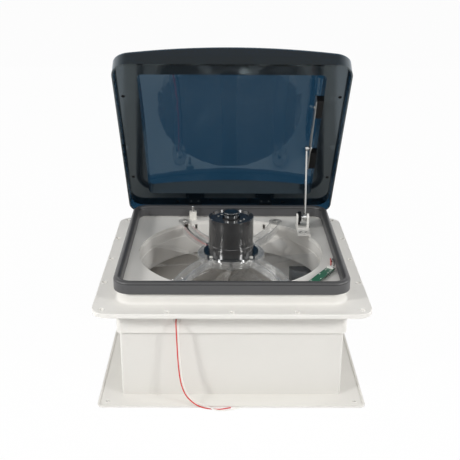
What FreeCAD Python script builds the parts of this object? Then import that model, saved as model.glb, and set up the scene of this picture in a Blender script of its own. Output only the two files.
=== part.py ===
"""Roof vent fan with a smoked lid held open by a lift arm, as a parametric document.

Millimetres. The origin is on the fan's axis, in the plane of the ceiling garnish's lower face.
+X points to the lift arm's side, +Y to the lid's hinges, +Z out through the roof.
"""
import FreeCAD, Part
import math
import os
import re

from FreeCAD import Placement, Rotation, Vector

# Driving dimensions. Every value has an alias of the same name in the sheet.
SIZES = {
    # Base pan: roof flange, collar through the roof, curb, deck and throat
    "flange_wide": 35.0, "flange_top": 162.0, "flange_edge": 7.0, "flange_plate": 3.0,
    "flange_lip": 3.0, "flange_corner": 26.0, "flange_round": 1.5,
    "collar_size": 352.0, "collar_wall": 3.0, "collar_corner": 24.0, "collar_bottom": 113.0,
    "neck_swell": 1.0, "neck_corner": 8.0,
    "curb_top": 192.0, "curb_cove": 4.0,
    "deck_top": 178.0, "deck_plate": 3.0,
    "throat_margin": 17.0, "throat_wall": 3.0, "throat_bottom": 118.0,
    "throat_step": 0.75, "throat_step_high": 172.4, "throat_step_low": 154.0,
    "throat_slot_wide": 4.0, "throat_slot_high": 9.0, "throat_slot_x": 63.0, "throat_slot_z": 164.0,
    "roof_hole": 7.5, "roof_hole_inset": 15.6, "edge_hole_inset": 7.5, "edge_hole_pitch": 97.0,
    # Rubber bulb gasket on the curb
    "gasket_lip": 5.0, "gasket_wide": 11.3, "gasket_bottom": 180.0, "gasket_top": 199.5,
    "gasket_round": 5.0,
    # Ceiling garnish whose duct slides up into the collar
    "duct_gap": 0.5, "duct_band": 1.0, "band_high": 8.0, "duct_wall": 2.5, "duct_top": 124.0,
    "duct_corner": 4.0,
    "garnish_wide": 35.0, "garnish_plate": 2.5, "garnish_bead": 3.5, "bead_wide": 3.0,
    "garnish_corner": 8.0, "garnish_hole": 5.0, "garnish_hole_inset": 14.6,
    "ledge_wide": 8.0, "ledge_thick": 2.5,
    # Insect screen on the garnish's ledge
    "screen_gap": 0.4, "screen_frame_wide": 12.0, "screen_high": 6.0,
    "mesh_thick": 0.8, "mesh_bar": 2.4, "mesh_lift": 2.0, "mesh_rows": 16.0,
    "screen_screw": 3.0, "screen_head": 6.0, "screen_head_high": 1.6,
    # Clear spider that carries the motor over the throat
    "spider_ring": 112.0, "spider_bore": 78.0, "spider_bottom": 166.0, "spider_top": 176.0,
    "arm_wide": 18.0, "arm_wall": 2.0, "arm_bottom": 168.0, "arm_top": 181.0, "arm_bow": 7.0,
    "arm_near_x": 33.0, "arm_near_y": 36.0, "foot_x": 84.0, "foot_inset": 33.0, "foot_size": 24.0,
    "spider_gap": 1.5, "foot_screw": 4.0, "foot_head": 8.0, "foot_head_high": 2.4,
    # Fan motor
    "can_size": 75.0, "can_wall": 1.6, "can_top": 240.5, "rim_high": 2.6,
    "notch_wide": 5.0, "notch_count": 6.0,
    "motor_flange": 93.0, "motor_plate": 3.0,
    "bolt_circle": 94.0, "bolt_tab": 13.0, "motor_screw": 4.0, "motor_head": 7.0, "motor_head_high": 3.0,
    "cap_size": 25.0, "cap_wall": 1.5, "cap_high": 11.0, "bearing_size": 22.0, "bearing_wide": 7.0,
    "shaft_size": 8.0, "run_fit": 0.05, "shaft_bottom": 144.0,
    "magnet_bore": 56.0, "magnet_bottom": 188.0, "magnet_high": 42.0, "magnet_span": 140.0,
    "armature_size": 50.0, "armature_bottom": 190.0, "armature_high": 36.0,
    "commutator_size": 22.0, "commutator_bottom": 228.0, "commutator_high": 8.0,
    "brush_wide": 6.0, "brush_high": 5.0, "brush_gap": 0.3,
    # Impeller
    "hub_size": 64.0, "hub_bottom": 147.0, "hub_high": 16.0, "hub_wall": 3.0, "blade_count": 10.0,
    "blade_root": 30.5, "blade_gap": 5.0, "blade_level": 151.0, "blade_thick": 2.0,
    "root_chord": 30.0, "tip_chord": 66.0, "root_pitch": 38.0, "tip_pitch": 17.0,
    "clip_size": 14.0, "clip_thick": 2.0,
    # Lid, drawn closed and turned open about its hinge
    "lid_gap": 10.25, "lid_corner": 26.0, "lid_wall": 2.5, "lid_rim": 183.0, "lid_high": 41.0,
    "lid_edge_high": 23.4, "lid_middle_high": 73.0, "lid_round": 5.0,
    "lid_open": 56.6, "hinge_inset": 2.25, "hinge_z": 172.0,
    "seal_gap": 0.3, "liner_gap": 0.2, "liner_wall": 2.5, "liner_band": 35.55, "liner_corner": 8.0,
    "liner_head": 6.0, "liner_head_high": 1.4, "liner_screw": 3.0, "liner_screw_long": 5.0, "liner_boss": 7.0,
    "side_screw_inset": 9.05, "side_screw_y": 104.0, "rear_screw_x": 100.5, "rear_screw_inset": 9.55,
    "inner_screw_x": 37.6, "inner_screw_inset": 17.55,
    # Hinges
    "hinge_x": 68.0, "knuckle_size": 12.0, "knuckle_wide": 24.0, "ear_wide": 6.0, "knuckle_gap": 0.3,
    "pin_size": 5.0, "foot_plate": 2.5, "hinge_foot_ahead": 7.0, "hinge_foot_behind": 17.0,
    "strap_thick": 3.0, "strap_top": 198.5, "rivet_size": 4.0, "rivet_head": 8.0, "rivet_head_high": 2.0,
    "rivet_lift": 10.0, "rivet_pitch": 14.0, "hinge_screw": 4.0, "hinge_screw_behind": 11.0,
    # Lift drive and arm
    "pivot_z": 200.0, "lift_inset": 18.0, "lift_gap": 2.8622, "arm_length": 126.4, "rod_size": 3.6,
    "pivot_size": 6.0, "pivot_eye": 12.0, "pivot_eye_wide": 6.0, "tip_eye": 9.0, "tip_eye_wide": 5.0,
    "tip_pin": 5.0, "tip_head": 10.0, "tip_head_thick": 1.5,
    "bracket_inside": 15.0, "bracket_outside": 8.0, "bracket_ahead": 38.0, "bracket_behind": 21.0,
    "bracket_thick": 3.0, "case_ahead": 11.0, "case_wall": 2.5,
    "case_foot": 1.5, "ear_thick": 4.0, "ear_long": 14.0, "side_gap": 0.4,
    "wheel_size": 16.0, "wheel_wide": 5.0, "wheel_inset": 11.5, "wheel_teeth": 16.0, "tooth_cut": 0.8,
    "worm_size": 7.0, "worm_high": 12.0, "mesh_gap": 0.3, "worm_shaft": 4.0, "worm_clear": 0.6,
    "lift_motor_size": 24.0, "lift_motor_high": 46.0, "worm_seat": 14.0,
    "bracket_screw": 3.0, "bracket_head": 6.5, "bracket_head_high": 2.2, "bracket_screw_ahead": 30.0,
    # Slotted rail in the lid
    "rail_offset": 4.5, "rail_thick": 2.0, "rail_high": 16.0, "rail_ahead": 209.0, "rail_long": 173.0,
    "slot_play": 1.7, "slot_margin": 4.0, "block_long": 42.0, "block_high": 12.0,
    "rail_screw": 3.0, "rail_head": 6.0, "rail_head_high": 1.6,
    # Rain sensor on the deck
    "sensor_inset": 34.0, "sensor_front": 54.2, "sensor_turn": 57.5, "sensor_long": 80.0, "sensor_wide": 13.5,
    "board_thick": 1.6, "sensor_lift": 4.0, "standoff_size": 6.0, "standoff_inset": 12.0,
    "terminal_long": 5.0, "terminal_wide": 11.0, "terminal_high": 3.0,
    "sensor_lead": 1.6, "sensor_hole_inset": 7.5, "sensor_hole_y": -47.0, "sensor_hole": 4.6,
    # Lid switch on the deck
    "switch_x": -69.5, "switch_inset": 15.5, "switch_wide": 13.0, "switch_deep": 10.0, "switch_top": 193.0,
    "plunger_size": 4.8, "plunger_bottom": 187.0, "plunger_top": 204.5, "plunger_bore_floor": 180.5,
    # Supply leads out of the collar, and the grommet that they pass
    "lead_size": 1.9, "lead_x": -83.5, "lead_z": 137.0, "lead_half_pitch": 1.3,
    "grommet_hole": 9.0, "grommet_flange": 13.0, "grommet_lip": 1.5,
    # Motor leads in a spider arm's channel
    "motor_lead": 2.0, "motor_lead_pitch": 4.4, "lead_port": 11.0,
    # Control box inside the duct
    "box_wide": 62.0, "box_front": 31.0, "box_back": 88.0, "box_bottom": 74.0, "box_top": 112.0,
    "box_wall": 2.0, "cover_thick": 2.0, "control_thick": 1.6, "control_lift": 8.0, "control_gap": 0.5,
    "box_screw": 3.0, "box_head": 5.5, "box_head_high": 1.8, "box_boss": 7.0,
}

# Sizes that follow from the ones above.
DERIVED = {
    "collar_inside": "collar_size-2*collar_wall",
    "inside_corner": "collar_corner-collar_wall",
    "neck_size": "collar_size+2*neck_swell",
    "neck_inside": "neck_size-2*collar_wall",
    "neck_inner_corner": "neck_corner-collar_wall",
    "flange_size": "collar_size+2*flange_wide",
    "throat_bore": "collar_inside-2*throat_margin",
    "blade_tip": "throat_bore/2-blade_gap",
    "foot_y": "collar_inside/2-foot_inset",
    "flange_inside": "flange_size-2*flange_lip",
    "flange_inner_corner": "flange_corner-flange_lip",
    "flange_bottom": "flange_top-flange_edge",
    "gasket_size": "collar_size+2*gasket_lip",
    "gasket_corner": "collar_corner+gasket_lip",
    "gasket_inside": "gasket_size-2*gasket_wide",
    "gasket_inner_corner": "gasket_corner-gasket_wide",
    "band_size": "neck_inside-2*duct_gap",
    "band_corner": "duct_corner+duct_band",
    "duct_size": "band_size-2*duct_band",
    "garnish_size": "duct_size+2*garnish_wide",
    "bead_inside": "garnish_size-2*bead_wide",
    "bead_inner_corner": "garnish_corner-bead_wide",
    "duct_inside": "duct_size-2*duct_wall",
    "duct_inner_corner": "duct_corner-duct_wall",
    "ledge_open": "duct_inside-2*ledge_wide",
    "ledge_corner": "duct_inner_corner",
    "screen_size": "duct_inside-2*screen_gap",
    "screen_corner": "duct_inner_corner-screen_gap",
    "screen_inside": "screen_size-2*screen_frame_wide",
    "screen_screw_at": "ledge_open/2+ledge_wide/2",
    "motor_base": "spider_top+motor_plate",
    "bolt_at": "bolt_circle/2*sqrt(0.5)",
    "can_inside": "can_size-2*can_wall",
    "end_plate": "can_top-rim_high",
    "cap_top": "end_plate+cap_high",
    "bearing_bore": "shaft_size+2*run_fit",
    "lid_size": "gasket_size+2*lid_gap",
    "crown_side": "lid_high-lid_edge_high",
    "crown_end": "lid_middle_high-lid_high",
    "lid_inside": "lid_size-2*lid_wall",
    "seal_z": "gasket_top+seal_gap",
    "liner_top": "seal_z+liner_wall",
    "liner_size": "lid_inside-2*liner_gap",
    "lid_inner_corner": "lid_corner-lid_wall",
    "liner_plate_corner": "lid_inner_corner-liner_gap",
    "liner_open": "liner_size-2*liner_band",
    "side_screw_x": "liner_size/2-side_screw_inset",
    "rear_screw_y": "liner_size/2-rear_screw_inset",
    "inner_screw_y": "liner_size/2-inner_screw_inset",
    "liner_wall_size": "liner_open+2*liner_wall",
    "liner_wall_corner": "liner_corner+liner_wall",
    "knuckle_bore": "pin_size+2*run_fit",
    "bracket_top": "deck_top+bracket_thick",
    "hinge_y": "lid_size/2-hinge_inset",
    "hinge_foot_front": "hinge_y-hinge_foot_ahead",
    "hinge_foot_back": "hinge_y+hinge_foot_behind",
    "hinge_screw_y": "hinge_y+hinge_screw_behind",
    "lift_x": "liner_open/2-lift_inset",
    "wheel_left": "lift_x-wheel_inset",
    "worm_x": "wheel_left+wheel_wide/2",
    "worm_reach": "throat_bore/2+throat_wall+lift_gap+lift_motor_size/2",
    "worm_y": "sqrt(worm_reach^2-worm_x^2)",
    "pivot_y": "worm_y-worm_size/2-mesh_gap-wheel_size/2",
    "bracket_left": "lift_x-bracket_inside",
    "bracket_right": "lift_x+bracket_outside",
    "bracket_front": "pivot_y-bracket_ahead",
    "bracket_back": "pivot_y+bracket_behind",
    "bracket_screw_y": "pivot_y-bracket_screw_ahead",
    "case_front": "pivot_y-case_ahead",
    "ear_left": "lift_x+pivot_eye_wide/2+side_gap",
    "rail_left": "lift_x+rail_offset",
    "rail_front": "pivot_y-rail_ahead",
    "rail_back": "rail_front+rail_long",
    "rail_z": "pivot_z",
    "rail_right": "rail_left+rail_thick",
    "board_bottom": "deck_top+sensor_lift",
    "board_top": "board_bottom+board_thick",
    "sensor_x": "collar_inside/2-sensor_inset",
    "sensor_y": "sensor_front-collar_inside/2",
    "sensor_hole_x": "collar_inside/2-sensor_hole_inset",
    "switch_y": "collar_inside/2-switch_inset",
    "box_right": "duct_inside/2",
    "box_left": "box_right-box_wide",
}

OVER = 1.0  # how far a cutting tool runs past the face that it opens
CROWN_PAST = 20.0  # how far the surface of the lid's crown runs past the lid
NEAR = 0.1  # how near to a face an edge lies that is looked for there
ARM_STEP = 0.05  # degrees between the tries for where a motor lead starts and ends
TRIM = 0.45  # share of a cord's shorter run that a rounded corner takes
BOLT_ANGLES = (45, 135, 225, 315)
MAGNET_ANGLES = (90, 270)
CORNERS = ((-1, -1), (1, -1), (1, 1), (-1, 1))
NAME = re.compile(r"[a-z][a-z_]*")

doc = FreeCAD.newDocument("RoofVentFan")
sheet = doc.addObject("Spreadsheet::Sheet", "Sizes")
nodes = []


def fill_sheet():
    """Writes every size to the sheet, one row each, and gives its cell the size's own name."""
    rows = [(name, f"{value:g}") for name, value in SIZES.items()]
    rows += [(name, f"={formula}") for name, formula in DERIVED.items()]
    for row, (name, text) in enumerate(rows, start=1):
        sheet.set(f"A{row}", name)
        sheet.set(f"B{row}", text)
        sheet.setAlias(f"B{row}", name)
    doc.recompute()


def size(name):
    """Reads one size from the sheet."""
    return float(sheet.get(name))


def bound(text):
    """Puts the sheet's name before every size that an expression names."""
    known = set(SIZES) | set(DERIVED)
    return NAME.sub(lambda hit: f"Sizes.{hit[0]}" if hit[0] in known else hit[0], str(text))


def bind(item, **expressions):
    """Binds properties of an object to expressions on the sheet."""
    for prop, text in expressions.items():
        item.setExpression(prop, bound(text))
    return item


def put(item, x=0, y=0, z=0):
    """Binds an object's place to three expressions on the sheet."""
    for axis, text in zip("xyz", (x, y, z)):
        item.setExpression(f"Placement.Base.{axis}", bound(text))
    return item


def block(name, x, y, z):
    """A box between two limits along each axis, given as pairs of expressions."""
    item = doc.addObject("Part::Box", name)
    bind(item, Length=f"({x[1]})-({x[0]})", Width=f"({y[1]})-({y[0]})", Height=f"({z[1]})-({z[0]})")
    return put(item, x[0], y[0], z[0])


def upright(edge):
    """Whether an edge stands along Z."""
    return abs(edge.tangentAt(edge.FirstParameter).z) > 1 - NEAR


def reach_of(edge):
    """How far an edge reaches from the axis along X or Y."""
    box = edge.BoundBox
    return max(abs(box.XMin), abs(box.XMax), abs(box.YMin), abs(box.YMax))


def flat_at(edge, height):
    """Whether an edge lies flat at a height."""
    return edge.BoundBox.ZLength < NEAR and abs(edge.BoundBox.ZMin - height) < NEAR


def slab(name, side, corner, z):
    """A square prism centred on the axis between two heights, its upright edges rounded by a radius."""
    item = block(name, (f"-({side})/2", f"({side})/2"), (f"-({side})/2", f"({side})/2"), z)
    return round_edges(f"{name}Rounded", item, size(corner), upright)


def rod(name, across, z, x=0, y=0):
    """An upright cylinder of a given diameter between two heights."""
    item = doc.addObject("Part::Cylinder", name)
    bind(item, Radius=f"({across})/2", Height=f"({z[1]})-({z[0]})")
    return put(item, x, y, z[0])


def rod_along_x(name, across, x, y, z):
    """A cylinder along X between two limits."""
    item = doc.addObject("Part::Cylinder", name)
    item.Placement = Placement(Vector(), Rotation(Vector(0, 1, 0), 90))
    bind(item, Radius=f"({across})/2", Height=f"({x[1]})-({x[0]})")
    return put(item, x[0], y, z)


def rod_along_y(name, across, y, x, z):
    """A cylinder along Y between two limits."""
    item = doc.addObject("Part::Cylinder", name)
    item.Placement = Placement(Vector(), Rotation(Vector(1, 0, 0), -90))
    bind(item, Radius=f"({across})/2", Height=f"({y[1]})-({y[0]})")
    return put(item, x, y[0], z)


def fuse(name, *items):
    """Joins objects to one."""
    item = doc.addObject("Part::MultiFuse", name)
    item.Shapes = list(items)
    item.Refine = True
    return item


def group(name, *items):
    """Keeps separate solids together in one object."""
    item = doc.addObject("Part::Compound", name)
    item.Links = list(items)
    return item


def cut(name, base, *tools):
    """Takes tools away from an object."""
    item = doc.addObject("Part::Cut", name)
    item.Base = base
    item.Tool = tools[0] if len(tools) == 1 else group(f"{name}Tools", *tools)
    item.Refine = True
    return item


def common(name, *items):
    """Keeps what objects share."""
    item = doc.addObject("Part::MultiCommon", name)
    item.Shapes = list(items)
    return item


def solid(name, shape):
    """An object that holds a shape worked out in this file."""
    item = doc.addObject("Part::Feature", name)
    item.Shape = shape
    return item


def round_edges(name, base, radius, wanted):
    """Rounds the edges of an object that a test picks out."""
    doc.recompute()
    item = doc.addObject("Part::Fillet", name)
    item.Base = base
    item.Edges = [(number, radius, radius) for number, edge in enumerate(base.Shape.Edges, start=1)
                  if wanted(edge)]
    return item


def node(label, item, turned=None):
    """Names a finished sub-part, and turns it to where it rests."""
    item.Label = label
    if turned is not None:
        item.Placement = turned
    nodes.append(item)
    return item


def turn_about_x(y, z, degrees):
    """The placement that turns a piece about an axis along X."""
    return Placement(Vector(), Rotation(Vector(1, 0, 0), degrees), Vector(0, y, z))


def lid_turn():
    """The lid's turn from closed to its open rest."""
    return turn_about_x(size("hinge_y"), size("hinge_z"), -size("lid_open"))


def arm_angle(lid_degrees):
    """The lift arm's angle over the closed, forward-lying arm when the lid stands at an angle."""
    lid = math.radians(lid_degrees)
    reach = size("hinge_y") - size("pivot_y")
    rise = size("pivot_z") - size("hinge_z")
    rail = size("rail_z") - size("hinge_z")
    lift = rail + reach * math.sin(lid) - rise * math.cos(lid)
    return lid_degrees + math.degrees(math.asin(lift / size("arm_length")))


def pin_on_rail(lid_degrees):
    """Where along Y, on the closed lid, the arm's pin stands in the rail."""
    lid = math.radians(lid_degrees)
    arm = math.radians(arm_angle(lid_degrees))
    tip_y = size("pivot_y") - size("arm_length") * math.cos(arm) - size("hinge_y")
    tip_z = size("pivot_z") + size("arm_length") * math.sin(arm) - size("hinge_z")
    return size("hinge_y") + tip_y * math.cos(lid) - tip_z * math.sin(lid)


def arm_turn():
    """The lift arm's turn from lying forward to its rest with the lid open."""
    return turn_about_x(size("pivot_y"), size("pivot_z"), -arm_angle(size("lid_open")))


def spots(x, y):
    """The four places at plus and minus x and y, as expressions."""
    return [(f"{sx}*({x})", f"{sy}*({y})") for sx, sy in CORNERS]


def roof_hole_spots():
    """The sixteen screw places of the roof flange: corners first, then three along each side."""
    corner = "flange_size/2-roof_hole_inset"
    edge = "flange_size/2-edge_hole_inset"
    along = [f"{step}*edge_hole_pitch" for step in (-1, 0, 1)]
    places = spots(corner, corner)
    for sign in (-1, 1):
        places += [(step, f"{sign}*({edge})") for step in along]
        places += [(f"{sign}*({edge})", step) for step in along]
    return places


def base_pan():
    """The white moulded pan: roof flange, collar, curb, deck and throat in one piece."""
    plate_bottom = "flange_top-flange_plate"
    flange = slab("FlangeBlock", "flange_size", "flange_corner", ("flange_bottom", "flange_top"))
    hollow = slab("FlangeHollow", "flange_inside", "flange_inner_corner",
                  (f"flange_bottom-{OVER}", plate_bottom))
    shell = cut("FlangeShell", flange, hollow)
    collar = slab("CollarBlock", "collar_size", "collar_corner", (plate_bottom, "curb_top"))
    outside = fuse("PanOutside", shell, collar)
    top, curb_side, rim_side = size("flange_top"), size("collar_size") / 2, size("flange_size") / 2
    coved = round_edges("CurbCove", outside, size("curb_cove"),
                        lambda edge: flat_at(edge, top) and reach_of(edge) < curb_side + NEAR)
    eased = round_edges("FlangeEased", coved, size("flange_round"),
                        lambda edge: flat_at(edge, top) and reach_of(edge) > rim_side - NEAR)
    neck = slab("NeckBlock", "neck_size", "neck_corner", ("collar_bottom", "flange_top-flange_plate/2"))
    neck_room = slab("NeckInside", "neck_inside", "neck_inner_corner",
                     (f"collar_bottom-{OVER}", plate_bottom))
    curb_room = slab("CollarInside", "collar_inside", "inside_corner", (plate_bottom, f"curb_top+{OVER}"))
    ring = cut("PanRing", fuse("PanSides", eased, neck), neck_room, curb_room)
    deck = slab("DeckBlock", "collar_inside", "inside_corner", ("deck_top-deck_plate", "deck_top"))
    throat = rod("ThroatBlock", "throat_bore+2*throat_wall", ("throat_bottom", "deck_top"))
    whole = fuse("PanWhole", ring, deck, throat)
    tools = [rod("ThroatBore", "throat_bore", ("throat_step_high", f"deck_top+{OVER}")),
             rod("ThroatMiddle", "throat_bore-2*throat_step",
                 ("throat_step_low", f"throat_step_high+{OVER}")),
             rod("ThroatLower", "throat_bore-4*throat_step",
                 (f"throat_bottom-{OVER}", f"throat_step_low+{OVER}"))]
    flange_cut = (f"flange_bottom-{OVER}", f"flange_top+{OVER}")
    deck_cut = (f"deck_top-deck_plate-{OVER}", f"deck_top+{OVER}")
    for number, (x, y) in enumerate(roof_hole_spots()):
        tools.append(rod(f"RoofHole{number}", "roof_hole", flange_cut, x, y))
    for number, (x, y) in enumerate(spots("foot_x", "foot_y")):
        tools.append(rod(f"FootHole{number}", "foot_screw", deck_cut, x, y))
    tools.append(rod("WormHole", "worm_shaft+2*worm_clear", deck_cut, "worm_x", "worm_y"))
    tools.append(rod("SensorHole", "sensor_hole", deck_cut, "sensor_hole_x", "sensor_hole_y"))
    tools.append(rod_along_y("LeadHole", "grommet_hole",
                             (f"-neck_size/2-{OVER}", f"-neck_inside/2+{OVER}"), "lead_x", "lead_z"))
    tools.append(solid("MotorLeadPort", lead_port_shape()))
    for sx in (-1, 1):
        middle = f"{sx}*throat_slot_x"
        tools.append(block(f"ThroatSlot{sx}",
                           (f"{middle}-throat_slot_wide/2", f"{middle}+throat_slot_wide/2"),
                           ("throat_bore/4", "collar_inside/2-collar_wall"),
                           ("throat_slot_z", "throat_slot_z+throat_slot_high")))
        for side in (-1, 1):
            tools.append(rod(f"HingeHole{sx}{side}", "hinge_screw", flange_cut,
                             f"{sx}*hinge_x+{side}*(knuckle_wide/2)", "hinge_screw_y"))
    node("base_pan", cut("BasePan", whole, *tools))


def lid_gasket():
    """The rubber bulb that grips the curb's top edge."""
    outer = slab("GasketOuter", "gasket_size", "gasket_corner", ("gasket_bottom", "gasket_top"))
    inner = slab("GasketInner", "gasket_inside", "gasket_inner_corner",
                 (f"gasket_bottom-{OVER}", f"gasket_top+{OVER}"))
    ring = cut("GasketRing", outer, inner)
    top = size("gasket_top")
    bulb = round_edges("GasketBulb", ring, size("gasket_round"), lambda edge: flat_at(edge, top))
    groove = cut("GasketGroove",
                 slab("GrooveOuter", "collar_size", "collar_corner", (f"gasket_bottom-{OVER}", "curb_top")),
                 slab("GrooveInner", "collar_inside", "inside_corner",
                      (f"gasket_bottom-2*{OVER}", f"curb_top+{OVER}")))
    node("lid_gasket", cut("LidGasket", bulb, groove))


def screen_screw_spots():
    """Where the screen is screwed to the garnish's ledge: the middle of each side."""
    at = "screen_screw_at"
    return [(at, "0"), (f"-{at}", "0"), ("0", f"-{at}"), ("0", at)]


def garnish():
    """The ceiling garnish: a square duct with a guide band, a flat flange and a ledge for the screen."""
    duct = slab("DuctBlock", "duct_size", "duct_corner", ("0", "duct_top"))
    flange = slab("GarnishPlate", "garnish_size", "garnish_corner", ("0", "garnish_plate"))
    bead = slab("BeadBlock", "garnish_size", "garnish_corner", ("0", "garnish_bead"))
    bead_inner = slab("BeadInner", "bead_inside", "bead_inner_corner",
                      ("garnish_plate", f"garnish_bead+{OVER}"))
    band = slab("DuctBand", "band_size", "band_corner", ("duct_top-band_high", "duct_top"))
    whole = fuse("GarnishWhole", flange, cut("Bead", bead, bead_inner), duct, band)
    tools = [slab("DuctInside", "duct_inside", "duct_inner_corner", ("ledge_thick", f"duct_top+{OVER}")),
             slab("LedgeOpen", "ledge_open", "ledge_corner", (f"-{OVER}", f"ledge_thick+{OVER}"))]
    at = "garnish_size/2-garnish_hole_inset"
    for number, (x, y) in enumerate(spots(at, at)):
        tools.append(rod(f"GarnishHole{number}", "garnish_hole", (f"-{OVER}", f"garnish_plate+{OVER}"), x, y))
    for number, (x, y) in enumerate(screen_screw_spots()):
        tools.append(rod(f"ScreenHole{number}", "screen_screw", (f"-{OVER}", f"ledge_thick+{OVER}"), x, y))
        tools.append(rod(f"ScreenSink{number}", "screen_head", (f"-{OVER}", "screen_head_high"), x, y))
    node("garnish", cut("Garnish", whole, *tools))


def screen():
    """The insect screen: a flat frame on the garnish's ledge, its net and its four screws."""
    low, high = "ledge_thick", "ledge_thick+screen_high"
    frame = slab("ScreenOuter", "screen_size", "screen_corner", (low, high))
    half = "screen_inside/2"
    opening = block("ScreenInner", (f"-{half}", half), (f"-{half}", half),
                    (f"{low}-{OVER}", f"{high}+{OVER}"))
    tools = [opening]
    screws = []
    for number, (x, y) in enumerate(screen_screw_spots()):
        tip = f"{low}+screen_high-{OVER}"
        tools.append(rod(f"FrameHole{number}", "screen_screw", (f"{low}-{OVER}", tip), x, y))
        head = rod(f"ScreenHead{number}", "screen_head", ("0", "screen_head_high"), x, y)
        shank = rod(f"ScreenShank{number}", "screen_screw", ("0", tip), x, y)
        screws.append(fuse(f"ScreenScrew{number}", head, shank))
    node("screen_frame", cut("ScreenFrame", frame, *tools))
    node("screen_screws", group("ScreenScrews", *screws))
    rows = int(size("mesh_rows"))
    side = size("screen_inside")
    step = side / rows
    gap = step - size("mesh_bar")
    level = size("ledge_thick") + size("mesh_lift")
    loop = CORNERS + CORNERS[:1]
    wires = [Part.makePolygon([Vector(x * side / 2, y * side / 2, level) for x, y in loop])]
    for row in range(rows):
        for column in range(rows):
            centre = Vector((column + 0.5) * step - side / 2, (row + 0.5) * step - side / 2, level)
            wires.append(Part.makePolygon([centre + Vector(x * gap / 2, y * gap / 2, 0) for x, y in loop]))
    net = Part.Face(wires, "Part::FaceMakerBullseye").extrude(Vector(0, 0, size("mesh_thick")))
    node("screen_mesh", solid("ScreenMesh", net))


def arm_circle():
    """The centre, radius, and start and end angle of the right rear spider arm's centre line."""
    near = Vector(size("arm_near_x"), size("arm_near_y"), 0)
    foot = Vector(size("foot_x"), size("foot_y"), 0)
    chord = foot - near
    middle = (near + foot) * 0.5
    side = Vector(chord.y, -chord.x, 0).normalize()
    bow = size("arm_bow")
    radius = (chord.Length ** 2 / 4 + bow ** 2) / (2 * bow)
    centre = middle + side * (bow - radius)
    start = math.degrees(math.atan2(near.y - centre.y, near.x - centre.x))
    end = math.degrees(math.atan2(foot.y - centre.y, foot.x - centre.x))
    return centre, radius, start, end


def sector(inner, outer, low, high):
    """A curved bar along a spider arm, between two radii about the arm's centre and two heights."""
    centre, _, start, end = arm_circle()
    base = Vector(centre.x, centre.y, low)
    up = Vector(0, 0, 1)
    bar = Part.makeCylinder(outer, high - low, base, up, end - start)
    bar = bar.cut(Part.makeCylinder(inner, high - low, base, up, end - start))
    bar.rotate(centre, up, start)
    return bar


def four_ways(shape):
    """A shape of the right rear arm, with its copies on the other three arms."""
    right = [shape, shape.mirror(Vector(), Vector(0, 1, 0))]
    return right + [item.mirror(Vector(), Vector(1, 0, 0)) for item in right]


def motor_spider():
    """The clear spider: a ring for the motor and four curved channel arms with feet on the deck."""
    _, radius, _, _ = arm_circle()
    half, wall = size("arm_wide") / 2, size("arm_wall")
    low, high, deck = size("arm_bottom"), size("arm_top"), size("deck_top")
    inside_throat = size("throat_bore") / 2 - size("spider_gap")
    up = Vector(0, 0, 1)
    channel = sector(radius - half, radius + half, low, high)
    channel = channel.cut(sector(radius - half + wall, radius + half - wall, low + wall, high + OVER))
    channel = channel.common(Part.makeCylinder(inside_throat, high - low, Vector(0, 0, low), up))
    tongue = sector(radius - half, radius + half, deck, high)
    tongue = tongue.cut(Part.makeCylinder(inside_throat - wall, high - deck, Vector(0, 0, deck), up))
    foot_at = Vector(size("foot_x"), size("foot_y"), deck)
    foot = Part.makeCylinder(size("foot_size") / 2, high - deck, foot_at, up)
    hole = Part.makeCylinder(size("foot_screw") / 2, high - deck + 2 * OVER, foot_at - up * OVER, up)
    arm = channel.fuse([tongue, foot]).cut(hole)
    ring_high = size("spider_top") - size("spider_bottom")
    base = Vector(0, 0, size("spider_bottom"))
    ring = Part.makeCylinder(size("spider_ring") / 2, ring_high, base, up)
    whole = ring.fuse(four_ways(arm))
    tall = size("arm_top") - size("spider_bottom") + 2 * OVER
    whole = whole.cut(Part.makeCylinder(size("spider_bore") / 2, tall, base - up * OVER, up))
    whole = whole.cut(Part.makeCylinder(size("spider_ring") / 2, tall, Vector(0, 0, size("spider_top")), up))
    bolt = Part.makeCylinder(size("motor_screw") / 2, tall, base - up * OVER, up)
    for angle in BOLT_ANGLES:
        turned = bolt.copy()
        turned.translate(Vector(size("bolt_circle") / 2, 0, 0))
        turned.rotate(Vector(), up, angle)
        whole = whole.cut(turned)
    node("motor_spider", solid("MotorSpider", whole.removeSplitter()))
    screws = []
    for number, (x, y) in enumerate(spots("foot_x", "foot_y")):
        head = rod(f"FootHead{number}", "foot_head", ("arm_top", "arm_top+foot_head_high"), x, y)
        shank = rod(f"FootShank{number}", "foot_screw", ("deck_top-deck_plate", "arm_top"), x, y)
        screws.append(fuse(f"FootScrew{number}", head, shank))
    node("spider_screws", group("SpiderScrews", *screws))


def lead_arc(offset):
    """The centre line of a motor lead in the left rear arm's channel, out through the throat's wall."""
    centre, radius, start, end = arm_circle()
    level = size("arm_bottom") + size("arm_wall") + size("motor_lead") / 2
    reach = radius + offset
    wall = size("throat_bore") / 2 + size("throat_wall")

    def at(angle):
        point = centre + Vector(math.cos(math.radians(angle)), math.sin(math.radians(angle)), 0) * reach
        return Vector(-point.x, point.y, level)

    first, last = start, end
    while math.hypot(at(first).x, at(first).y) < (size("spider_ring") + size("motor_lead")) / 2:
        first += ARM_STEP
    while math.hypot(at(last).x, at(last).y) > wall:
        last -= ARM_STEP
    return Part.Arc(at(first), at((first + last) / 2), at(last)).toShape(), at(last)


def tube(path, across):
    """A round tube along a path of tangent lines and arcs."""
    wire = Part.Wire(path)
    start = wire.OrderedEdges[0]
    point, heading = start.valueAt(start.FirstParameter), start.tangentAt(start.FirstParameter)
    ring = Part.Wire(Part.makeCircle(across / 2, point, heading))
    return wire.makePipeShell([ring], True, False)


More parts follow.
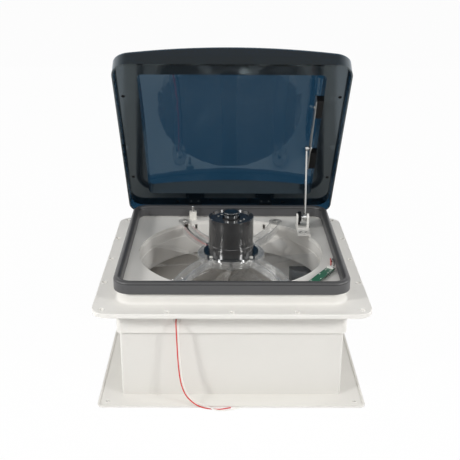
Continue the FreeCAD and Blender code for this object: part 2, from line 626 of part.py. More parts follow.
def lead_port_shape():
    """The slot in the throat's wall that the two motor leads pass."""
    _, end = lead_arc(0)
    port = size("lead_port")
    return Part.makeBox(port, port, port - size("arm_wall"),
                        Vector(end.x - port / 2, end.y - port / 2, size("arm_bottom") + size("arm_wall")))


def motor_leads():
    """The red and the black lead in the spider arm's channel."""
    for label, side in (("motor_lead_red", 1), ("motor_lead_black", -1)):
        path, _ = lead_arc(side * size("motor_lead_pitch") / 2)
        node(label, solid(label, tube([path], size("motor_lead"))))


def motor():
    """The fan motor's fixed pieces: flange, can, magnets, brushes, bearings, end cap and screws."""
    tabs = [rod("MotorDisc", "motor_flange", ("spider_top", "motor_base"))]
    holes = [rod("LowerSeat", "bearing_size", (f"spider_top-{OVER}", f"motor_base+{OVER}"))]
    screws = []
    for number, (x, y) in enumerate(spots("bolt_at", "bolt_at")):
        tabs.append(rod(f"MotorTab{number}", "bolt_tab", ("spider_top", "motor_base"), x, y))
        holes.append(rod(f"MotorHole{number}", "motor_screw",
                         (f"spider_top-{OVER}", f"motor_base+{OVER}"), x, y))
        head = rod(f"MotorHead{number}", "motor_head", ("motor_base", "motor_base+motor_head_high"), x, y)
        shank = rod(f"MotorShank{number}", "motor_screw", ("spider_bottom", "motor_base"), x, y)
        screws.append(fuse(f"MotorScrew{number}", head, shank))
    node("motor_flange", cut("MotorFlange", fuse("MotorFlangeWhole", *tabs), *holes))
    node("motor_screws", group("MotorScrews", *screws))
    can = rod("CanBlock", "can_size", ("motor_base", "can_top"))
    notches = []
    for number in range(int(size("notch_count"))):
        notch = doc.addObject("Part::Box", f"RimNotch{number}")
        bind(notch, Length="can_size", Width="notch_wide", Height="2*rim_high")
        spin = Rotation(Vector(0, 0, 1), 360 / size("notch_count") * (number + 0.5))
        corner = spin.multVec(Vector(0, -size("notch_wide") / 2, size("end_plate")))
        notch.Placement = Placement(corner, spin)
        notches.append(notch)
    node("motor_can", cut("MotorCan", can,
                          rod("CanInside", "can_inside", (f"motor_base-{OVER}", "end_plate-can_wall")),
                          rod("RimInside", "can_inside", ("end_plate", f"can_top+{OVER}")),
                          rod("UpperSeat", "bearing_size",
                              (f"end_plate-can_wall-{OVER}", f"end_plate+{OVER}")),
                          *notches))
    cap = rod("CapBlock", "cap_size", ("end_plate", "cap_top"))
    crest = size("cap_top")
    cap_eased = round_edges("CapEased", cap, size("cap_wall"), lambda edge: flat_at(edge, crest))
    node("motor_end_cap", cut("MotorEndCap", cap_eased,
                              rod("CapInside", "bearing_size", (f"end_plate-{OVER}", "cap_top-cap_wall"))))
    for label, low in (("lower_bearing", "spider_top"), ("upper_bearing", "end_plate-can_wall")):
        race = rod(f"{label}_race", "bearing_size", (low, f"{low}+bearing_wide"))
        bore = rod(f"{label}_bore", "bearing_bore", (f"{low}-{OVER}", f"{low}+bearing_wide+{OVER}"))
        node(label, cut(label, race, bore))
    magnets = []
    for number, middle in enumerate(MAGNET_ANGLES):
        ring = doc.addObject("Part::Cylinder", f"MagnetOuter{number}")
        bind(ring, Radius="can_inside/2", Height="magnet_high", Angle="magnet_span")
        ring.Placement = Placement(Vector(), Rotation(Vector(0, 0, 1), middle - size("magnet_span") / 2))
        put(ring, 0, 0, "magnet_bottom")
        bore = rod(f"MagnetBore{number}", "magnet_bore",
                   (f"magnet_bottom-{OVER}", f"magnet_bottom+magnet_high+{OVER}"))
        magnets.append(cut(f"Magnet{number}", ring, bore))
    node("motor_magnets", group("MotorMagnets", *magnets))
    low = "commutator_bottom+(commutator_high-brush_high)/2"
    outer = rod("BrushReach", "can_inside", (low, f"{low}+brush_high"))
    near = "commutator_size/2+brush_gap"
    brushes = []
    for number, reach in enumerate(((near, "can_inside/2"), ("-can_inside/2", f"-({near})"))):
        bar = block(f"BrushBar{number}", reach, ("-brush_wide/2", "brush_wide/2"), (low, f"{low}+brush_high"))
        brushes.append(common(f"Brush{number}", bar, outer))
    node("motor_brushes", group("MotorBrushes", *brushes))


def blade(number):
    """One twisted blade of the impeller, from the hub to its tip."""
    sections = []
    ends = (("blade_root", "root_chord", "root_pitch"), ("blade_tip", "tip_chord", "tip_pitch"))
    for reach, chord, pitch in ends:
        lean = math.radians(size(pitch))
        along = Vector(0, math.cos(lean), math.sin(lean)) * (size(chord) / 2)
        across = Vector(0, -math.sin(lean), math.cos(lean)) * (size("blade_thick") / 2)
        middle = Vector(size(reach), 0, size("blade_level"))
        corners = [middle + along * x + across * y for x, y in CORNERS + CORNERS[:1]]
        sections.append(Part.makePolygon(corners))
    shape = Part.makeLoft(sections, True, True)
    shape.rotate(Vector(), Vector(0, 0, 1), 360 / size("blade_count") * number)
    return shape


def rotor():
    """What the fan motor turns: shaft, armature, commutator, impeller and its clip."""
    node("motor_shaft", rod("MotorShaft", "shaft_size",
                            ("shaft_bottom-clip_thick", "cap_top-cap_wall-run_fit")))
    drums = (("armature", "armature_size", "armature_bottom", "armature_bottom+armature_high"),
             ("commutator", "commutator_size", "commutator_bottom", "commutator_bottom+commutator_high"))
    for label, across, low, high in drums:
        drum = rod(f"{label}_drum", across, (low, high))
        node(label, cut(label, drum, rod(f"{label}_bore", "shaft_size", (f"{low}-{OVER}", f"{high}+{OVER}"))))
    low, high, shaft_end = size("hub_bottom"), size("hub_high"), size("shaft_bottom")
    hub_radius, hub_wall = size("hub_size") / 2, size("hub_wall")

    def pillar(radius, tall, foot):
        return Part.makeCylinder(radius, tall, Vector(0, 0, foot), Vector(0, 0, 1))

    hub = pillar(hub_radius, high, low)
    cup = pillar(hub_radius - hub_wall, high, low - hub_wall)
    boss = pillar(size("shaft_size"), high + low - shaft_end, shaft_end)
    bore = pillar(size("shaft_size") / 2, 3 * high, low - high)
    swept = pillar(hub_radius - hub_wall, 3 * high, low - high)
    blades = [blade(number).cut(swept) for number in range(int(size("blade_count")))]
    fan = hub.cut(cup).fuse(blades).fuse(boss).cut(bore)
    node("fan_impeller", solid("FanImpeller", fan.removeSplitter()))
    clip = rod("ClipDisc", "clip_size", ("shaft_bottom-clip_thick", "shaft_bottom"))
    clip_bore = rod("ClipBore", "shaft_size", (f"shaft_bottom-clip_thick-{OVER}", f"shaft_bottom+{OVER}"))
    node("impeller_clip", cut("ImpellerClip", clip, clip_bore))


def crown_shape(inset):
    """What lies under the lid's crowned top, which falls to its sides and ends, lowered by an inset."""
    reach = size("lid_size") / 2 + CROWN_PAST
    share = (2 * reach / size("lid_size")) ** 2
    side, end = share * size("crown_side"), share * size("crown_end")
    top = size("lid_rim") + size("lid_middle_high") - inset
    patch = Part.BezierSurface()
    patch.increase(2, 2)
    for row in range(3):
        for column in range(3):
            fall = (side if row == 1 else -side) + (end if column == 1 else -end)
            patch.setPole(row + 1, column + 1, Vector((row - 1) * reach, (column - 1) * reach, top + fall))
    return patch.toShape().extrude(Vector(0, 0, -3 * size("lid_middle_high")))


def dome_block(name, side, corner, low, inset):
    """A rounded square block under the lid's crowned top."""
    rounded = slab(f"{name}Block", side, corner, (low, "lid_rim+2*lid_middle_high"))
    return common(f"{name}Crowned", rounded, solid(f"{name}Crown", crown_shape(inset)))


def ease_dome(name, item, radius):
    """Rounds a dome's upper edges."""
    low = size("lid_rim") + OVER
    return round_edges(name, item, radius, lambda edge: edge.BoundBox.ZMin > low)


def liner_screw_spots():
    """Where the liner is screwed to the dome's bosses: two along each side, four along the rear."""
    places = spots("side_screw_x", "side_screw_y")
    places += [(f"{sx}*rear_screw_x", "rear_screw_y") for sx in (-1, 1)]
    places += [(f"{sx}*inner_screw_x", "inner_screw_y") for sx in (-1, 1)]
    return places


def lid():
    """The smoked lid: a crowned dome with screw bosses, and its hinge straps. Drawn closed."""
    wall = size("lid_wall")
    outer = dome_block("DomeOuter", "lid_size", "lid_corner", "lid_rim", 0)
    eased = ease_dome("DomeEased", outer, size("lid_round"))
    inner = dome_block("DomeInner", "lid_inside", "lid_inner_corner", f"lid_rim-{OVER}", wall)
    inner_eased = ease_dome("DomeInnerEased", inner, size("lid_round") - wall)
    bosses = []
    tools = []
    for number, (x, y) in enumerate(liner_screw_spots()):
        bosses.append(rod(f"LinerBoss{number}", "liner_boss", ("liner_top", "lid_rim+lid_middle_high"), x, y))
        tools.append(rod(f"BossHole{number}", "liner_screw",
                         (f"liner_top-{OVER}", "seal_z+liner_screw_long"), x, y))
    tools.append(cut("DomeRoom", inner_eased, *bosses))
    rivets = []
    straps = []
    face, out, back = "lid_inside/2", "lid_size/2", "lid_inside/2-strap_thick"
    rivet_z = "lid_rim+rivet_lift"
    for sx, side in ((-1, "left"), (1, "right")):
        middle = f"{sx}*hinge_x"
        holes = []
        for step in (-1, 1):
            key = f"{side}{'A' if step < 0 else 'B'}"
            at = (f"{middle}+{step}*rivet_pitch/2", rivet_z)
            lid_cut, strap_cut = (f"{face}-{OVER}", f"{out}+{OVER}"), (f"{back}-{OVER}", f"{face}+{OVER}")
            tools.append(rod_along_y(f"RivetHole{key}", "rivet_size", lid_cut, *at))
            holes.append(rod_along_y(f"StrapHole{key}", "rivet_size", strap_cut, *at))
            shank = rod_along_y(f"RivetShank{key}", "rivet_size", (back, out), *at)
            head = rod_along_y(f"RivetHead{key}", "rivet_head", (out, f"{out}+rivet_head_high"), *at)
            rivets.append(fuse(f"Rivet{key}", shank, head))
        left, right = f"{middle}-knuckle_wide/2+knuckle_gap", f"{middle}+knuckle_wide/2-knuckle_gap"
        knuckle = rod_along_x(f"Knuckle{side}", "knuckle_size", (left, right), "hinge_y", "hinge_z")
        plate = block(f"Strap{side}", (left, right), (back, face), ("hinge_z", "strap_top"))
        bore = rod_along_x(f"KnuckleBore{side}", "knuckle_bore", (f"{left}-{OVER}", f"{right}+{OVER}"),
                           "hinge_y", "hinge_z")
        strap = fuse(f"StrapWhole{side}", knuckle, plate)
        straps.append((f"hinge_strap_{side}", cut(f"HingeStrap{side}", strap, bore, *holes)))
    turned = lid_turn()
    node("lid_dome", cut("LidDome", eased, *tools), turned)
    for label, item in straps:
        node(label, item, turned)
    node("strap_rivets", group("StrapRivets", *rivets), turned)


def liner():
    """The liner in the lid: a flat sealing face, and a wall from its opening to the dome. Drawn closed."""
    turned = lid_turn()
    plate = slab("LinerPlate", "liner_size", "liner_plate_corner", ("seal_z", "liner_top"))
    collar = dome_block("LinerWall", "liner_wall_size", "liner_wall_corner", "seal_z",
                        size("lid_wall") + size("liner_gap"))
    opening = slab("LinerOpening", "liner_open", "liner_corner",
                   (f"seal_z-{OVER}", "lid_rim+2*lid_middle_high"))
    holes = []
    screws = []
    for number, (x, y) in enumerate(liner_screw_spots()):
        holes.append(rod(f"LinerSink{number}", "liner_head",
                         (f"seal_z-{OVER}", "seal_z+liner_head_high"), x, y))
        holes.append(rod(f"LinerHole{number}", "liner_screw", ("seal_z", f"liner_top+{OVER}"), x, y))
        head = rod(f"LinerHead{number}", "liner_head", ("seal_z", "seal_z+liner_head_high"), x, y)
        shank = rod(f"LinerShank{number}", "liner_screw", ("seal_z", "seal_z+liner_screw_long"), x, y)
        screws.append(fuse(f"LinerScrew{number}", head, shank))
    node("lid_liner", cut("LidLiner", fuse("LinerWhole", plate, collar), opening, *holes), turned)
    node("liner_screws", group("LinerScrews", *screws), turned)


def lid_rail():
    """The slotted lift rail in the lid, on two blocks fixed to the liner's right wall. Drawn closed."""
    turned = lid_turn()
    low, high = "rail_z-rail_high/2", "rail_z+rail_high/2"
    strip = block("RailStrip", ("rail_left", "rail_right"), ("rail_front", "rail_back"), (low, high))
    ends = [pin_on_rail(0), pin_on_rail(size("lid_open"))]
    front, back = min(ends) - size("slot_margin"), max(ends) + size("slot_margin")
    wide = "tip_pin+2*slot_play"
    past = (f"rail_left-{OVER}", f"rail_right+{OVER}")
    tools = [block("SlotMiddle", past, (front, back), (f"rail_z-({wide})/2", f"rail_z+({wide})/2")),
             rod_along_x("SlotFront", wide, past, front, "rail_z"),
             rod_along_x("SlotBack", wide, past, back, "rail_z")]
    tip = "liner_open/2-liner_wall"
    screws = []
    blocks = []
    for label, y0, y1 in (("rail_block_front", "rail_front", "rail_front+block_long"),
                          ("rail_block_rear", "rail_back-block_long", "rail_back")):
        body = block(f"{label}_body", ("rail_right", "liner_open/2"), (y0, y1),
                     ("rail_z-block_high/2", "rail_z+block_high/2"))
        at = (f"({y0}+{y1})/2", "rail_z")
        tools.append(rod_along_x(f"{label}_hole", "rail_screw", past, *at))
        seat = rod_along_x(f"{label}_seat", "rail_screw", (f"rail_right-{OVER}", tip), *at)
        head = rod_along_x(f"{label}_head", "rail_head", ("rail_left-rail_head_high", "rail_left"), *at)
        shank = rod_along_x(f"{label}_shank", "rail_screw", ("rail_left", tip), *at)
        screws.append(fuse(f"{label}_screw", head, shank))
        blocks.append((label, cut(f"{label}_cut", body, seat)))
    node("lift_rail", cut("LiftRail", strip, *tools), turned)
    for label, item in blocks:
        node(label, item, turned)
    node("rail_screws", group("RailScrews", *screws), turned)


def hinges():
    """The two hinge brackets on the roof flange, with their pins and screws."""
    pins = []
    screws = []
    axis = ("hinge_y", "hinge_z")
    foot_top = "flange_top+foot_plate"
    web = ("hinge_y-knuckle_size/2", "hinge_y+knuckle_size/2")
    for sx, side in ((-1, "left"), (1, "right")):
        middle = f"{sx}*hinge_x"
        left, right = f"{middle}-knuckle_wide/2-ear_wide", f"{middle}+knuckle_wide/2+ear_wide"
        pieces = [block(f"HingeFoot{side}", (left, right), ("hinge_foot_front", "hinge_foot_back"),
                        ("flange_top", foot_top))]
        holes = [rod_along_x(f"EarBore{side}", "pin_size", (f"{left}-{OVER}", f"{right}+{OVER}"), *axis)]
        for ear, span in enumerate(((left, f"{left}+ear_wide"), (f"{right}-ear_wide", right))):
            pieces.append(rod_along_x(f"Ear{side}{ear}", "knuckle_size", span, *axis))
            pieces.append(block(f"EarWeb{side}{ear}", span, web, ("flange_top", "hinge_z")))
        for step in (-1, 1):
            at = (f"{middle}+{step}*(knuckle_wide/2)", "hinge_screw_y")
            key = f"{side}{step}"
            holes.append(rod(f"BracketHole{key}", "hinge_screw",
                             (f"flange_top-{OVER}", f"{foot_top}+{OVER}"), *at))
            shank = rod(f"HingeShank{key}", "hinge_screw", ("flange_top-flange_plate", foot_top), *at)
            head = rod(f"HingeHead{key}", "foot_head", (foot_top, f"{foot_top}+foot_head_high"), *at)
            screws.append(fuse(f"HingeScrew{key}", shank, head))
        whole = fuse(f"BracketWhole{side}", *pieces)
        node(f"hinge_bracket_{side}", cut(f"HingeBracket{side}", whole, *holes))
        pins.append(rod_along_x(f"HingePin{side}", "pin_size", (left, right), *axis))
    node("hinge_pins", group("HingePins", *pins))
    node("hinge_screws", group("HingeScrews", *screws))


def lift_drive():
    """The lid's drive: deck bracket, open gear case, worm, lift motor and the bracket's screws."""
    wide = ("bracket_left", "bracket_right")
    worm_at = ("worm_x", "worm_y")
    worm_pass = (f"deck_top-{OVER}", f"bracket_top+case_foot+{OVER}")
    plate = block("BracketPlate", wide, ("bracket_front", "bracket_back"), ("deck_top", "bracket_top"))
    holes = [rod("BracketWorm", "worm_shaft+2*worm_clear", worm_pass, *worm_at)]
    screws = []
    for number, inset in enumerate(("bracket_left+bracket_head", "bracket_right-bracket_head")):
        at = (inset, "bracket_screw_y")
        holes.append(rod(f"BracketHole{number}", "bracket_screw",
                         (f"deck_top-{OVER}", f"bracket_top+{OVER}"), *at))
        shank = rod(f"BracketShank{number}", "bracket_screw", ("deck_top", "bracket_top"), *at)
        head = rod(f"BracketHead{number}", "bracket_head",
                   ("bracket_top", "bracket_top+bracket_head_high"), *at)
        screws.append(fuse(f"BracketScrew{number}", shank, head))
    node("lift_bracket", cut("LiftBracket", plate, *holes))
    node("bracket_screws", group("BracketScrews", *screws))
    long = ("case_front", "bracket_back")
    foot = block("CaseFoot", wide, long, ("bracket_top", "bracket_top+case_foot"))
    ears = []
    for side, across in (("Inner", ("bracket_left", "bracket_left+case_wall")),
                         ("Outer", ("ear_left", "ear_left+ear_thick"))):
        post = block(f"{side}Post", across, ("pivot_y-ear_long/2", "pivot_y+ear_long/2"),
                     ("bracket_top", "pivot_z"))
        top = rod_along_x(f"{side}Top", "ear_long", across, "pivot_y", "pivot_z")
        ears.append(fuse(f"{side}Ear", post, top))
    bore = rod_along_x("CaseBore", "pivot_size+2*run_fit",
                       ("bracket_left+case_wall/2", f"bracket_right+{OVER}"), "pivot_y", "pivot_z")
    floor_hole = rod("CaseWorm", "worm_shaft+2*worm_clear", worm_pass, *worm_at)
    node("lift_gear_case", cut("LiftGearCase", fuse("CaseWhole", foot, *ears), bore, floor_hole))
    deck_bottom = "deck_top-deck_plate"
    seat_floor = f"{deck_bottom}-worm_seat"
    can = rod("LiftCan", "lift_motor_size", (f"{deck_bottom}-lift_motor_high", deck_bottom), *worm_at)
    seat = rod("WormSeat", "worm_shaft+2*run_fit", (seat_floor, f"{deck_bottom}+{OVER}"), *worm_at)
    node("lift_motor", cut("LiftMotor", can, seat))
    thread = rod("WormThread", "worm_size", ("pivot_z-worm_high/2", "pivot_z+worm_high/2"), *worm_at)
    spindle = rod("WormSpindle", "worm_shaft", (f"{seat_floor}+run_fit", "pivot_z"), *worm_at)
    node("lift_worm", fuse("LiftWorm", thread, spindle))


def lift_arm():
    """What swings with the lift arm: arm, shaft, worm wheel and the pin in the rail. Drawn lying forward."""
    turned = arm_turn()
    pivot = ("pivot_y", "pivot_z")
    tip = ("pivot_y-arm_length", "pivot_z")
    eye = rod_along_x("PivotEye", "pivot_eye", ("lift_x-pivot_eye_wide/2", "lift_x+pivot_eye_wide/2"), *pivot)
    end = rod_along_x("TipEye", "tip_eye", ("lift_x-tip_eye_wide/2", "lift_x+tip_eye_wide/2"), *tip)
    bar = rod_along_y("ArmRod", "rod_size", (tip[0], "pivot_y"), "lift_x", "pivot_z")
    through = ("lift_x-pivot_eye_wide", "lift_x+pivot_eye_wide")
    shaft_cut = rod_along_x("EyeBore", "pivot_size", through, *pivot)
    pin_cut = rod_along_x("TipBore", "tip_pin", through, *tip)
    node("lift_arm", cut("LiftArm", fuse("ArmWhole", eye, end, bar), shaft_cut, pin_cut), turned)
    shaft = rod_along_x("PivotRod", "pivot_size",
                        ("bracket_left+case_wall/2+run_fit", "ear_left+ear_thick"), *pivot)
    node("pivot_shaft", group("PivotShaft", shaft), turned)
    head_left, head_right = "rail_right+side_gap", "rail_right+side_gap+tip_head_thick"
    pin = rod_along_x("TipPin", "tip_pin", ("lift_x-tip_eye_wide/2", head_right), *tip)
    head = rod_along_x("TipHead", "tip_head", (head_left, head_right), *tip)
    node("arm_pin", fuse("ArmPin", pin, head), turned)
    disc = rod_along_x("WheelDisc", "wheel_size", ("wheel_left", "wheel_left+wheel_wide"), *pivot)
    past = (f"wheel_left-{OVER}", f"wheel_left+wheel_wide+{OVER}")
    cuts = [rod_along_x("WheelBore", "pivot_size", past, *pivot)]
    teeth = int(size("wheel_teeth"))
    for number in range(teeth):
        angle = 2 * math.pi * (number + 0.5) / teeth
        cuts.append(rod_along_x(f"ToothGap{number}", "2*tooth_cut", past,
                                f"pivot_y+{math.cos(angle):.6f}*wheel_size/2",
                                f"pivot_z+{math.sin(angle):.6f}*wheel_size/2"))
    node("worm_wheel", cut("WormWheel", disc, *cuts), turned)


# The sensor leads' routes from the terminal, along the gasket's inside, to the hole in the deck.
SENSOR_ROUTES = {
    "sensor_lead_red": [(161.6, -70.0, 188.4), (161.8, -60.5, 188.6), (162.8, -53.0, 186.6)],
    "sensor_lead_black": [(166.0, -74.0, 188.4), (166.3, -63.0, 188.8), (166.3, -54.0, 187.0)],
}


def rain_sensor():
    """The rain sensor: a narrow board on two standoffs with its terminal and two leads to the deck."""
    turned = Placement(Vector(size("sensor_x"), size("sensor_y"), 0),
                       Rotation(Vector(0, 0, 1), size("sensor_turn")))
    half_long = "sensor_long/2"
    board = block("BoardBlock", (f"-{half_long}", half_long), ("-sensor_wide/2", "sensor_wide/2"),
                  ("board_bottom", "board_top"))
    node("rain_sensor_board", group("RainSensorBoard", board), turned)
    posts = [rod(f"Standoff{sign}", "standoff_size", ("deck_top", "board_bottom"),
                 f"{sign}*({half_long}-standoff_inset)", "0") for sign in (-1, 1)]
    node("sensor_standoffs", group("SensorStandoffs", *posts), turned)
    terminal = block("TerminalBlock", (f"{half_long}-terminal_long", half_long),
                     ("-terminal_wide/2", "terminal_wide/2"), ("board_top", "board_top+terminal_high"))
    node("sensor_terminal", group("SensorTerminal", terminal), turned)
    across = size("sensor_lead")
    heading = turned.Rotation.multVec(Vector(1, 0, 0))
    for label, points in SENSOR_ROUTES.items():
        side = 1 if label == "sensor_lead_red" else -1
        first = turned.multVec(Vector(size("sensor_long") / 2, side * size("terminal_wide") / 4,
                                      size("board_top") + size("terminal_high") / 2))
        hole_x = size("sensor_hole_x") - side * across / 2
        last = Vector(hole_x, size("sensor_hole_y"), size("deck_top") - size("deck_plate"))
        route = [first, first + heading * (3 * across)]
        route += [Vector(*point) for point in points]
        route += [last + Vector(0, 0, size("deck_plate") + 2 * across), last]
        node(label, solid(label, cord_shape(label, route, across)))


def lid_switch():
    """The lid switch: a post on the deck, and the plunger that the closing lid presses."""
    x, y = "switch_x", "switch_y"
    post = block("SwitchPost", (f"{x}-switch_wide/2", f"{x}+switch_wide/2"),
                 (f"{y}-switch_deep/2", f"{y}+switch_deep/2"), ("deck_top", "switch_top"))
    bore = rod("PlungerBore", "plunger_size+2*run_fit", ("plunger_bore_floor", f"switch_top+{OVER}"), x, y)
    node("lid_switch", cut("LidSwitch", post, bore))
    pin = rod("PlungerPin", "plunger_size", ("plunger_bottom", "plunger_top"), x, y)
    top = size("plunger_top")
    node("switch_plunger", round_edges("SwitchPlunger", pin, size("plunger_size") / 4,
                                       lambda edge: flat_at(edge, top)))


def cord_shape(label, points, across):
    """A tube through a route's points, with each corner rounded as far as its two runs allow."""
    edges = []
    at = points[0]
    radii = []
    for before, corner, after in zip(points, points[1:], points[2:]):
        back, ahead = before - corner, after - corner
        turn = math.pi - back.getAngle(ahead)
        trim = TRIM * min(back.Length, ahead.Length)
        radii.append(trim / math.tan(turn / 2))
        back.normalize()
        ahead.normalize()
        first, last = corner + back * trim, corner + ahead * trim
        bisector = (back + ahead).normalize()
        radius = radii[-1]
        middle = corner + bisector * (math.hypot(radius, trim) - radius)
        edges.append(Part.LineSegment(at, first).toShape())
        edges.append(Part.Arc(first, middle, last).toShape())
        at = last
    edges.append(Part.LineSegment(at, points[-1]).toShape())
    shape = tube(edges, across)
    length = sum(edge.Length for edge in edges)
    share = shape.Volume / (math.pi * across ** 2 / 4 * length)
    print(f"{label}: length {length:.1f}, least radius {min(radii):.1f}, volume share {share:.4f}")
    return shape


# The supply leads' routes from the grommet, down past the garnish and along the floor.
LEAD_ROUTES = {
    "lead_red": [(-84.8, -184.0, 137.0), (-84.6, -189.6, 131.8), (-84.2, -191.2, 122.5),
                 (-83.6, -192.6, 107.0),
                 (-82.7, -194.6, 84.0), (-81.0, -197.8, 60.0), (-77.9, -201.2, 38.0), (-71.6, -204.2, 21.0),
                 (-62.0, -206.8, 10.5), (-50.2, -210.6, 4.0), (-38.5, -212.0, 1.4), (-26.4, -213.6, 1.2),
                 (-14.6, -213.9, 1.2), (-1.2, -209.4, 1.2)],
    "lead_white": [(-82.2, -184.0, 137.0), (-82.0, -189.6, 131.6), (-81.6, -191.2, 122.0),
                   (-81.0, -192.6, 106.5),
                   (-80.0, -194.6, 83.5), (-78.2, -197.8, 59.5), (-75.0, -200.9, 37.5), (-68.6, -203.4, 20.5),
                   (-59.4, -205.4, 11.0), (-48.0, -207.8, 7.4), (-37.0, -213.2, 6.2), (-26.5, -217.0, 2.2),
                   (-14.5, -217.9, 1.2), (-1.0, -215.0, 1.2), (12.4, -209.2, 1.2)],
}


def supply_leads():
    """The red and the white supply lead, and the grommet in the collar that they leave."""
    face = "-neck_size/2"
    inside = "-neck_inside/2"
    outer = rod_along_y("GrommetOuter", "grommet_flange", (f"{face}-grommet_lip", face), "lead_x", "lead_z")
    inner = rod_along_y("GrommetInner", "grommet_flange", (inside, f"{inside}+grommet_lip"),
                        "lead_x", "lead_z")
    neck = rod_along_y("GrommetNeck", "grommet_hole", (face, inside), "lead_x", "lead_z")
    through = (f"{face}-2*grommet_lip", f"{inside}+2*grommet_lip")
    bores = [rod_along_y(f"GrommetBore{sign}", "lead_size", through,
                         f"lead_x+{sign}*lead_half_pitch", "lead_z") for sign in (-1, 1)]
    node("lead_grommet", cut("LeadGrommet", fuse("GrommetWhole", outer, inner, neck), *bores))
    start = -size("neck_size") / 2 - size("grommet_lip")
    for label, points in LEAD_ROUTES.items():
        side = -1 if label == "lead_red" else 1
        exit_point = Vector(size("lead_x") + side * size("lead_half_pitch"), start, size("lead_z"))
        route = [exit_point] + [Vector(*point) for point in points]
        node(label, solid(label, cord_shape(label, route, size("lead_size"))))


def control_box():
    """The control box on the duct's right wall: case, cover, board and screws."""
    wide, deep = ("box_left", "box_right"), ("box_front", "box_back")
    room_wide = ("box_left+box_wall", "box_right-box_wall")
    room_deep = ("box_front+box_wall", "box_back-box_wall")
    case = block("BoxBlock", wide, deep, ("box_bottom", "box_top"))
    room = block("BoxRoom", room_wide, room_deep, (f"box_bottom-{OVER}", "box_top-box_wall"))
    shell = cut("BoxShell", case, room)
    cover_bottom, screw_top = "box_bottom-cover_thick", "box_bottom+2*box_boss"
    inset = "(box_wall+box_boss)/2"
    bosses = []
    holes = []
    cover_holes = []
    board_holes = []
    screws = []
    places = [(x, y) for x in (f"box_left+{inset}", f"box_right-{inset}")
              for y in (f"box_front+{inset}", f"box_back-{inset}")]
    for number, at in enumerate(places):
        bosses.append(rod(f"BoxBoss{number}", "box_boss", ("box_bottom", "box_top-box_wall"), *at))
        holes.append(rod(f"BoxHole{number}", "box_screw", (f"box_bottom-{OVER}", screw_top), *at))
        cover_holes.append(rod(f"CoverHole{number}", "box_screw",
                               (f"{cover_bottom}-{OVER}", f"box_bottom+{OVER}"), *at))
        board_holes.append(rod(f"BoardNotch{number}", "box_boss+2*control_gap",
                               ("box_bottom", "box_top"), *at))
        shank = rod(f"BoxShank{number}", "box_screw", (cover_bottom, screw_top), *at)
        head = rod(f"BoxHead{number}", "box_head", (f"{cover_bottom}-box_head_high", cover_bottom), *at)
        screws.append(fuse(f"BoxScrew{number}", shank, head))
    node("control_box", cut("ControlBox", fuse("BoxWhole", shell, *bosses), *holes))
    cover = block("CoverBlock", wide, deep, (cover_bottom, "box_bottom"))
    node("control_cover", cut("ControlCover", cover, *cover_holes))
    board_low = "box_bottom+control_lift"
    board = block("ControlBlock", room_wide, room_deep, (board_low, f"{board_low}+control_thick"))
    node("control_board", cut("ControlBoard", board, *board_holes))
    node("control_screws", group("ControlScrews", *screws))


def check():
    """Stops if any object failed or any sub-part's shape is empty or not valid."""
    doc.recompute()
    for item in doc.Objects:
        if "Invalid" in item.State or "Error" in item.State:
            raise RuntimeError(f"{item.Name} failed: {item.State}")
    for item in nodes:
        if item.Shape.isNull() or not item.Shape.isValid() or not item.Shape.Solids:
            raise RuntimeError(f"{item.Label} has no valid solid")


def write():
    """Writes each sub-part to its own file."""
    os.makedirs("parts", exist_ok=True)
    for item in nodes:
        item.Shape.exportStep(f"parts/{item.Label}.step")
        print(f"{item.Label}: {len(item.Shape.Solids)} solid(s), {item.Shape.Volume / 1000:.2f} cm3")


fill_sheet()
for build in (base_pan, lid_gasket, garnish, screen, motor_spider, motor_leads, motor, rotor, lid, liner,
              lid_rail, hinges, lift_drive, lift_arm, rain_sensor, lid_switch, supply_leads, control_box):
    build()
check()
write()
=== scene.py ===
"""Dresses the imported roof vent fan: finishes for its solids, fine pieces, leads, light and camera.

Metres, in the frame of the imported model: +X to the lift arm's side, +Y to the lid's hinges, +Z up.
"""

import logging
import math
from dataclasses import dataclass, field, replace
from enum import Enum
from typing import Sequence

import bmesh
import bpy
import numpy as np
from mathutils import Matrix, Vector

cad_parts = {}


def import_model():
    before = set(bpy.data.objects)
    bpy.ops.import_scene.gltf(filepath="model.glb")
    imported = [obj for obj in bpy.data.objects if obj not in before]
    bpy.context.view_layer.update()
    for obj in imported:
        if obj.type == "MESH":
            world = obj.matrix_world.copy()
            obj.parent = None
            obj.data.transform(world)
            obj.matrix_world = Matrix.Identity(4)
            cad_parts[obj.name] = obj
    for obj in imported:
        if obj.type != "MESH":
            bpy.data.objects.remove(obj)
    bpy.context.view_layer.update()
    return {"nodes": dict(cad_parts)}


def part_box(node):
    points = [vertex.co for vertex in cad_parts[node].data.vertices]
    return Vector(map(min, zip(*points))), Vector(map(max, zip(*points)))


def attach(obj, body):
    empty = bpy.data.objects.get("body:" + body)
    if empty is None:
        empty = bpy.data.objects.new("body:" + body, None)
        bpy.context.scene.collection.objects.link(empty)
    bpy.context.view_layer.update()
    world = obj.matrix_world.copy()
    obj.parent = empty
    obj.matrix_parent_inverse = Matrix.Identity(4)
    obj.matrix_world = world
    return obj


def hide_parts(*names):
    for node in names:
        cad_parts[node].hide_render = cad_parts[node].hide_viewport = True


log = logging.getLogger("roof_vent_fan")

Colour = tuple[float, float, float]
Point = tuple[float, float, float]
Pair = tuple[float, float]
Paint = Colour | bpy.types.NodeSocket
Settings = dict[str, object] | None
Values = dict[int | str, object] | None

MM = 0.001


def srgb(red: float, green: float, blue: float) -> Colour:
    """Turns a colour as a screen shows it into the linear one that a shader takes.

    Args:
        red, green, blue: the colour's parts, from 0 to 255.

    Returns:
        The same colour in linear parts from 0 to 1.
    """
    def one(part: float) -> float:
        """One part of the colour."""
        share = part / 255.0
        return share / 12.92 if share <= 0.04045 else ((share + 0.055) / 1.055) ** 2.4

    return one(red), one(green), one(blue)


